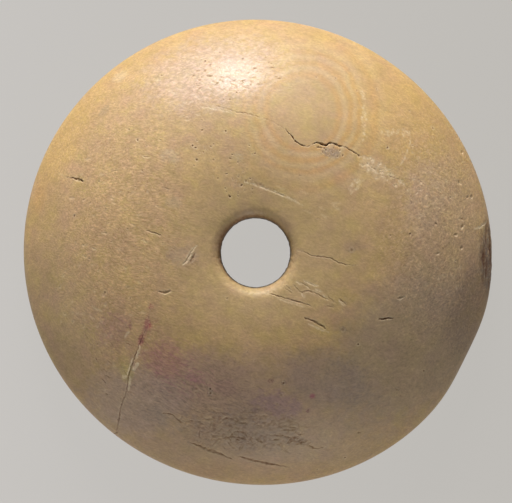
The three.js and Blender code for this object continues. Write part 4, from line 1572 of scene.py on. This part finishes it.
    def ramp(self, tree: Tree, value: Source, start: float, end: float, low: float, high: float) -> Node:
        """Rises straight from a low value at a start to a high one at an end, and is level beyond.

        A clamped Map Range would do the same, but Cycles puts its clamp after all other nodes, and so
        many values then wait for one that the shader can outgrow its memory and turn black.

        Args:
            tree: the tree.
            value: what the ramp follows.
            start: the value at which it leaves the low one.
            end: the value at which it reaches the high one.
            low: the low value.
            high: the high value.

        Returns:
            The ramp.
        """
        risen = add_node(
            tree, "ShaderNodeMapRange",
            {"Value": value, "From Min": start, "From Max": end, "To Min": low, "To Max": high}, clamp=False)
        capped = add_node(tree, "ShaderNodeMath", {0: risen, 1: high}, operation="MINIMUM")
        return add_node(tree, "ShaderNodeMath", {0: capped, 1: low}, operation="MAXIMUM")

    def stained(self, tree: Tree, colour: Source, place: Source, blotches: Source,
                stain: Stain, softness: float) -> Node:
        """Lays a stain over a colour.

        Args:
            tree: the tree.
            colour: the colour so far.
            place: the place.
            blotches: what breaks the stain up, from 0 to 1.
            stain: the stain.
            softness: the share of the way to its middle over which it gains its full strength.

        Returns:
            The colour.
        """
        inside = self.inside(tree, place, stain.area)
        left = add_node(
            tree, "ShaderNodeMath", {0: blotches, 1: -stain.break_up, 2: inside}, operation="MULTIPLY_ADD")
        amount = self.ramp(tree, left, 0.0, softness, 0.0, stain.strength)
        return add_node(
            tree, "ShaderNodeMix", {0: amount, 1: colour, 2: linear(stain.colour)}, data_type="RGBA")

    def layered(self, tree: Tree, colour: Source, wavy: Source, place: Source) -> Source:
        """Lays on the growth layers that the dome cuts through, as faint amber and pale ovals.

        Args:
            tree: the tree.
            colour: the colour so far.
            wavy: the bent place.
            place: the true place.

        Returns:
            The colour.
        """
        layers = self.layers
        centred = add_node(tree, "ShaderNodeMapping", {
            "Vector": wavy,
            "Location": (layers.right, layers.up, 0.0),
            "Rotation": Euler((0.0, 0.0, math.radians(layers.direction))),
            "Scale": (layers.along, layers.across, self.any_height),
        }, vector_type="TEXTURE")
        distance = add_node(tree, "ShaderNodeVectorMath", {0: centred}, operation="LENGTH")
        near = self.inside(tree, place, self.layer_area)
        for tint, strength, bands in self.layer_bands:
            shares = []
            for middle, half_width in bands:
                away = add_node(tree, "ShaderNodeMath", {0: distance, 1: middle}, operation="SUBTRACT")
                away = add_node(tree, "ShaderNodeMath", {0: away}, operation="ABSOLUTE")
                shares.append(add_node(
                    tree, "ShaderNodeMapRange",
                    {"Value": away, "From Min": half_width, "From Max": 0.0, "To Max": strength},
                    interpolation_type="SMOOTHSTEP", clamp=False))
            amount = shares[0]
            for share in shares[1:]:
                amount = add_node(tree, "ShaderNodeMath", {0: amount, 1: share}, operation="ADD")
            amount = add_node(tree, "ShaderNodeMath", {0: near, 1: amount}, operation="MULTIPLY")
            colour = add_node(
                tree, "ShaderNodeMix", {0: amount, 1: colour, 2: linear(tint)}, data_type="RGBA")
        return colour

    def drawn_out(self, tree: Tree, wavy: Source, pattern: Texture | Flecks) -> Node:
        """Makes the noise of a texture or of flecks, stretched along their direction.

        Args:
            tree: the tree.
            wavy: the bent place.
            pattern: the texture or the flecks.

        Returns:
            The noise.
        """
        turned = add_node(tree, "ShaderNodeMapping", {
            "Vector": wavy,
            "Rotation": Euler((0.0, 0.0, math.radians(pattern.direction))),
            "Scale": (pattern.along, pattern.across, pattern.across),
        }, vector_type="TEXTURE")
        return add_node(
            tree, "ShaderNodeTexNoise", {"Vector": turned, "Scale": 1.0, "Detail": 3.0, "Roughness": 0.6})

    def flecked(self, tree: Tree, colour: Source, wavy: Source, place: Source,
                flecks: Flecks) -> Node:
        """Scatters flecks over a colour.

        Args:
            tree: the tree.
            colour: the colour so far.
            wavy: the bent place.
            place: the true place, for the area.
            flecks: the flecks.

        Returns:
            The colour.
        """
        amount = self.ramp(
            tree, self.drawn_out(tree, wavy, flecks), flecks.sparse, flecks.sparse + self.fleck_edge, 0.0,
            flecks.strength)
        inside = self.inside(tree, place, flecks.area)
        amount = add_node(tree, "ShaderNodeMath", {0: amount, 1: inside}, operation="MULTIPLY")
        return add_node(
            tree, "ShaderNodeMix", {0: amount, 1: colour, 2: linear(flecks.colour)}, data_type="RGBA")

    def textured(self, tree: Tree, shade: Source | float, wavy: Source, place: Source,
                 texture: Texture) -> Node:
        """Multiplies a brightness by a texture.

        Args:
            tree: the tree.
            shade: the brightness so far.
            wavy: the bent place.
            place: the true place, for the texture's areas.
            texture: the texture.

        Returns:
            The brightness.
        """
        amount = self.ramp(
            tree, self.drawn_out(tree, wavy, texture), *self.noise_levels, -texture.strength,
            texture.strength)
        for area in texture.areas:
            share = add_node(
                tree, "ShaderNodeMapRange",
                {"Value": self.inside(tree, place, area), "To Min": texture.everywhere, "To Max": 1.0},
                clamp=False)
            amount = add_node(tree, "ShaderNodeMath", {0: amount, 1: share}, operation="MULTIPLY")
        return add_node(
            tree, "ShaderNodeMath", {0: amount, 1: shade, 2: shade}, operation="MULTIPLY_ADD")


@dataclass
class Whorl:
    """The spindle whorl: one piece, carved from its smooth form."""

    form: WhorlForm
    marks: WearMarks
    skin: WornSkin
    finish: PolishedBone
    refine_reaches: tuple[float, ...] = (0.5, 0.25, 0.1)
    zone_halvings: int = 2  # in the zones, where everything is uneven
    finest_for_depth: float = 0.055  # marks shallower than this don't get the last halving

    def refined(self, mesh: bpy.types.Mesh, marks: list[Carving]) -> None:
        """Halves the edges near marks, once for each reach, and lays the new corners on the dome.

        Args:
            mesh: the smooth form in metres, which is changed.
            marks: the places that need a finer mesh.
        """
        near_marks = KDTree(len(marks))
        for index, mark in enumerate(marks):
            near_marks.insert(mark.place * METRES, index)
        near_marks.balance()
        zones = (self.skin.patch.zone, self.skin.glint, self.skin.web)
        shaped = bmesh.new()
        shaped.from_mesh(mesh)
        bmesh.ops.triangulate(shaped, faces=shaped.faces[:])
        for level, reach in enumerate(self.refine_reaches):
            chosen = []
            for edge in shaped.edges:
                middle = (edge.verts[0].co + edge.verts[1].co) / 2
                _, index, distance = near_marks.find(middle)
                mark = marks[index]
                near = distance * MILLIMETRES - mark.half_width < reach
                coarse = level < self.zone_halvings
                near = near and (coarse or abs(mark.depth) >= self.finest_for_depth)
                if near or coarse and any(zone.holds(middle * MILLIMETRES) for zone in zones):
                    chosen.append(edge)
            bmesh.ops.subdivide_edges(shaped, edges=chosen, cuts=1, use_grid_fill=True)
            bmesh.ops.triangulate(shaped, faces=[face for face in shaped.faces if len(face.verts) > 3])
        self.laid_on_dome(shaped)
        shaped.to_mesh(mesh)
        shaped.free()

    def laid_on_dome(self, shaped: bmesh.types.BMesh) -> None:
        """Moves corners that halving left inside the dome out to it.

        Args:
            shaped: the mesh in metres.
        """
        form = self.form
        inner = form.dome()[0][0] + abs(form.hole_offset)
        outer = form.dome()[-1][0] - form.flat_depth - form.oval_rise
        for corner in shaped.verts:
            right, up, height = corner.co * MILLIMETRES
            if height > form.rim_radius and inner < math.hypot(right, up) < outer:
                corner.co = form.on_dome(right, up) * METRES

    def build(self) -> bpy.types.Object:
        """Builds the whorl.

        Returns:
            The finished piece, at the origin.
        """
        lines = self.marks.lines()
        points = self.marks.points()
        smooth = self.form.mesh()
        self.refined(smooth, [mark for line in lines for mark in line[::2]] + points)
        body = bpy.data.objects.new("whorl_smooth", smooth)
        bpy.context.scene.collection.objects.link(body)
        crack_lines = self.marks.helper("crack_lines", lines)
        pits = self.marks.helper("pits", [[point] for point in points])
        carved = self.skin.carve(body, crack_lines, pits, self.finish.build())
        for helper in (body, crack_lines, pits):
            bpy.data.objects.remove(helper)
        piece = bpy.data.objects.new("whorl_body", carved)
        bpy.context.scene.collection.objects.link(piece)
        return piece


@dataclass(frozen=True)
class Lamp:
    """A soft lamp aimed at the whorl."""

    name: str
    direction: float  # round the whorl, from the right of the picture towards its top
    elevation: float
    size: float  # metres
    power: float  # watts
    colour: str = "#ffffff"
    distance: float = 0.7  # metres

    def build(self, target: Vector) -> None:
        """Places the lamp.

        Args:
            target: what it is aimed at, in metres.
        """
        around = math.radians(self.direction)
        above = math.radians(self.elevation)
        towards = Vector((
            math.cos(above) * math.cos(around), math.cos(above) * math.sin(around), math.sin(above)))
        data = bpy.data.lights.new(self.name, "AREA")
        data.shape = "DISK"
        data.size = self.size
        data.energy = self.power
        data.color = linear(self.colour)[:3]
        lamp = bpy.data.objects.new(self.name, data)
        lamp.location = target + towards * self.distance
        lamp.rotation_euler = towards.to_track_quat("Z", "Y").to_euler()
        lamp.visible_camera = False
        bpy.context.scene.collection.objects.link(lamp)


@dataclass(frozen=True)
class Studio:
    """The pale floor, the lamps, the surroundings and the camera."""

    lamps: tuple[Lamp, ...]
    backdrop_left: str = "#c7c4c0"
    backdrop_right: str = "#c0bdb8"
    surround_strength: float = 0.42
    shadow_share: float = 0.05  # how much of the floor's own shading the camera sees
    floor_width: float = 8.0  # metres
    floor_drop: float = 0.05  # below the base, so that base and floor aren't in one plane
    camera_distance: float = 2.0  # metres; much farther off, the other views would clip the whorl away
    camera_centre: Plan = (-0.198, 0.118)
    frame_width: float = 48.24
    frame_level: float = 2.4  # height at which the frame has that width
    sensor_width: float = 36.0
    clip_end: float = 10.0  # metres

    def floor(self) -> bpy.types.Object:
        """Lays the floor.

        Returns:
            The floor's object.
        """
        half = self.floor_width / 2
        level = -self.floor_drop * METRES
        mesh = bpy.data.meshes.new("floor")
        corners = [(-half, -half, level), (half, -half, level), (half, half, level), (-half, half, level)]
        mesh.from_pydata(corners, [], [(0, 1, 2, 3)])
        floor = bpy.data.objects.new("floor", mesh)
        mesh.materials.append(self.paper())
        bpy.context.scene.collection.objects.link(floor)
        return floor

    def paper(self) -> bpy.types.Material:
        """Matt paper: pale, mostly of one tone to the camera, a little lighter on the left as painted light,
        with a faint shadow, and clear from below.

        Returns:
            The material.
        """
        material = bpy.data.materials.new("matt_paper_floor")
        material.use_nodes = True
        tree = material.node_tree
        tree.nodes.clear()
        place = add_node(tree, "ShaderNodeTexCoord").outputs["Object"]
        right = add_node(tree, "ShaderNodeSeparateXYZ", {0: place}).outputs["X"]
        # Painted light: the floor's tone fades from lighter on the left to darker on the right
        half_frame = self.frame_width / 2 * METRES
        across = add_node(
            tree, "ShaderNodeMapRange", {"Value": right, "From Min": -half_frame, "From Max": half_frame})
        tone = add_node(
            tree, "ShaderNodeMix",
            {0: across, 1: linear(self.backdrop_left), 2: linear(self.backdrop_right)}, data_type="RGBA")
        shade = add_node(tree, "ShaderNodeBsdfDiffuse", {"Color": tone})
        plain = add_node(tree, "ShaderNodeEmission", {"Color": tone})
        amount = add_node(
            tree, "ShaderNodeMath", {0: self.seen_directly(tree), 1: 1 - self.shadow_share},
            operation="MULTIPLY")
        top = add_node(tree, "ShaderNodeMixShader", {0: amount, 1: shade, 2: plain})
        underneath = add_node(tree, "ShaderNodeNewGeometry").outputs["Backfacing"]
        clear = add_node(tree, "ShaderNodeBsdfTransparent")
        surface = add_node(tree, "ShaderNodeMixShader", {0: underneath, 1: top, 2: clear})
        add_node(tree, "ShaderNodeOutputMaterial", {"Surface": surface})
        return material

    def seen_directly(self, tree: Tree) -> Source:
        """Tells rays that end in the camera from those that only light something.

        Args:
            tree: the tree.

        Returns:
            1 for what the camera sees, also in a reflection or through something clear, and else 0.
        """
        path = add_node(tree, "ShaderNodeLightPath").outputs
        seen: Source = path["Is Camera Ray"]
        for other in ("Is Glossy Ray", "Is Transmission Ray"):
            seen = add_node(tree, "ShaderNodeMath", {0: seen, 1: path[other]}, operation="MAXIMUM")
        return seen

    def surroundings(self) -> None:
        """Sets the world: the backdrop's tone where it is seen, and a weak even light from all round."""
        world = bpy.data.worlds.new("studio")
        world.use_nodes = True
        tree = world.node_tree
        tree.nodes.clear()
        strength = add_node(
            tree, "ShaderNodeMapRange",
            {"Value": self.seen_directly(tree), "To Min": self.surround_strength, "To Max": 1.0})
        sky = add_node(
            tree, "ShaderNodeBackground", {"Color": linear(self.backdrop_left), "Strength": strength})
        add_node(tree, "ShaderNodeOutputWorld", {"Surface": sky})
        bpy.context.scene.world = world

    def camera(self) -> None:
        """Sets a camera far above, looking straight down, whose frame is measured at the rim's level."""
        data = bpy.data.cameras.new("camera")
        data.sensor_width = self.sensor_width
        data.lens = data.sensor_width * self.camera_distance / (self.frame_width * METRES)
        data.clip_end = self.clip_end
        camera = bpy.data.objects.new("camera", data)
        right, up = self.camera_centre
        level = self.frame_level * METRES + self.camera_distance
        camera.location = (right * METRES, up * METRES, level)
        bpy.context.scene.collection.objects.link(camera)
        bpy.context.scene.camera = camera

    def build(self, target: Vector) -> None:
        """Sets up the studio round the whorl.

        Args:
            target: what the lamps are aimed at, in metres.
        """
        self.floor()
        for lamp in self.lamps:
            lamp.build(target)
        self.surroundings()
        self.camera()
        bpy.context.scene.view_settings.view_transform = "Standard"


def main() -> None:
    """Builds the whorl and its studio, and reports each piece."""
    logging.basicConfig(level=logging.INFO, format="%(name)s: %(message)s")
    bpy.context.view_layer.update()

    form = WhorlForm()
    marks = WearMarks(form, CRACKS, TICKS, PITS, PIT_FIELDS)
    whorl = Whorl(form, marks, WornSkin(form), PolishedBone())
    piece = whorl.build()
    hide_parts("whorl")
    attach(piece, "root")
    log.info("%s: %d faces", piece.name, len(piece.data.polygons))

    studio = Studio(lamps=(
        Lamp("key", 95.0, 17.8, 0.4, 8.5, "#fffbf9"),
        Lamp("glint", 97.0, 31.0, 0.15, 0.45, "#faeaff"),
        Lamp("low_fill", 279.0, 9.0, 0.4, 2.0, "#fffcfa"),
        Lamp("left_fill", 200.0, 9.0, 0.3, 0.7, "#fbfaff"),
    ))
    studio.build(Vector((0.0, 0.0, form.rim_radius * METRES)))
    log.info("studio: %d lamps", len(studio.lamps))


if __name__ == "__main__":
    main()
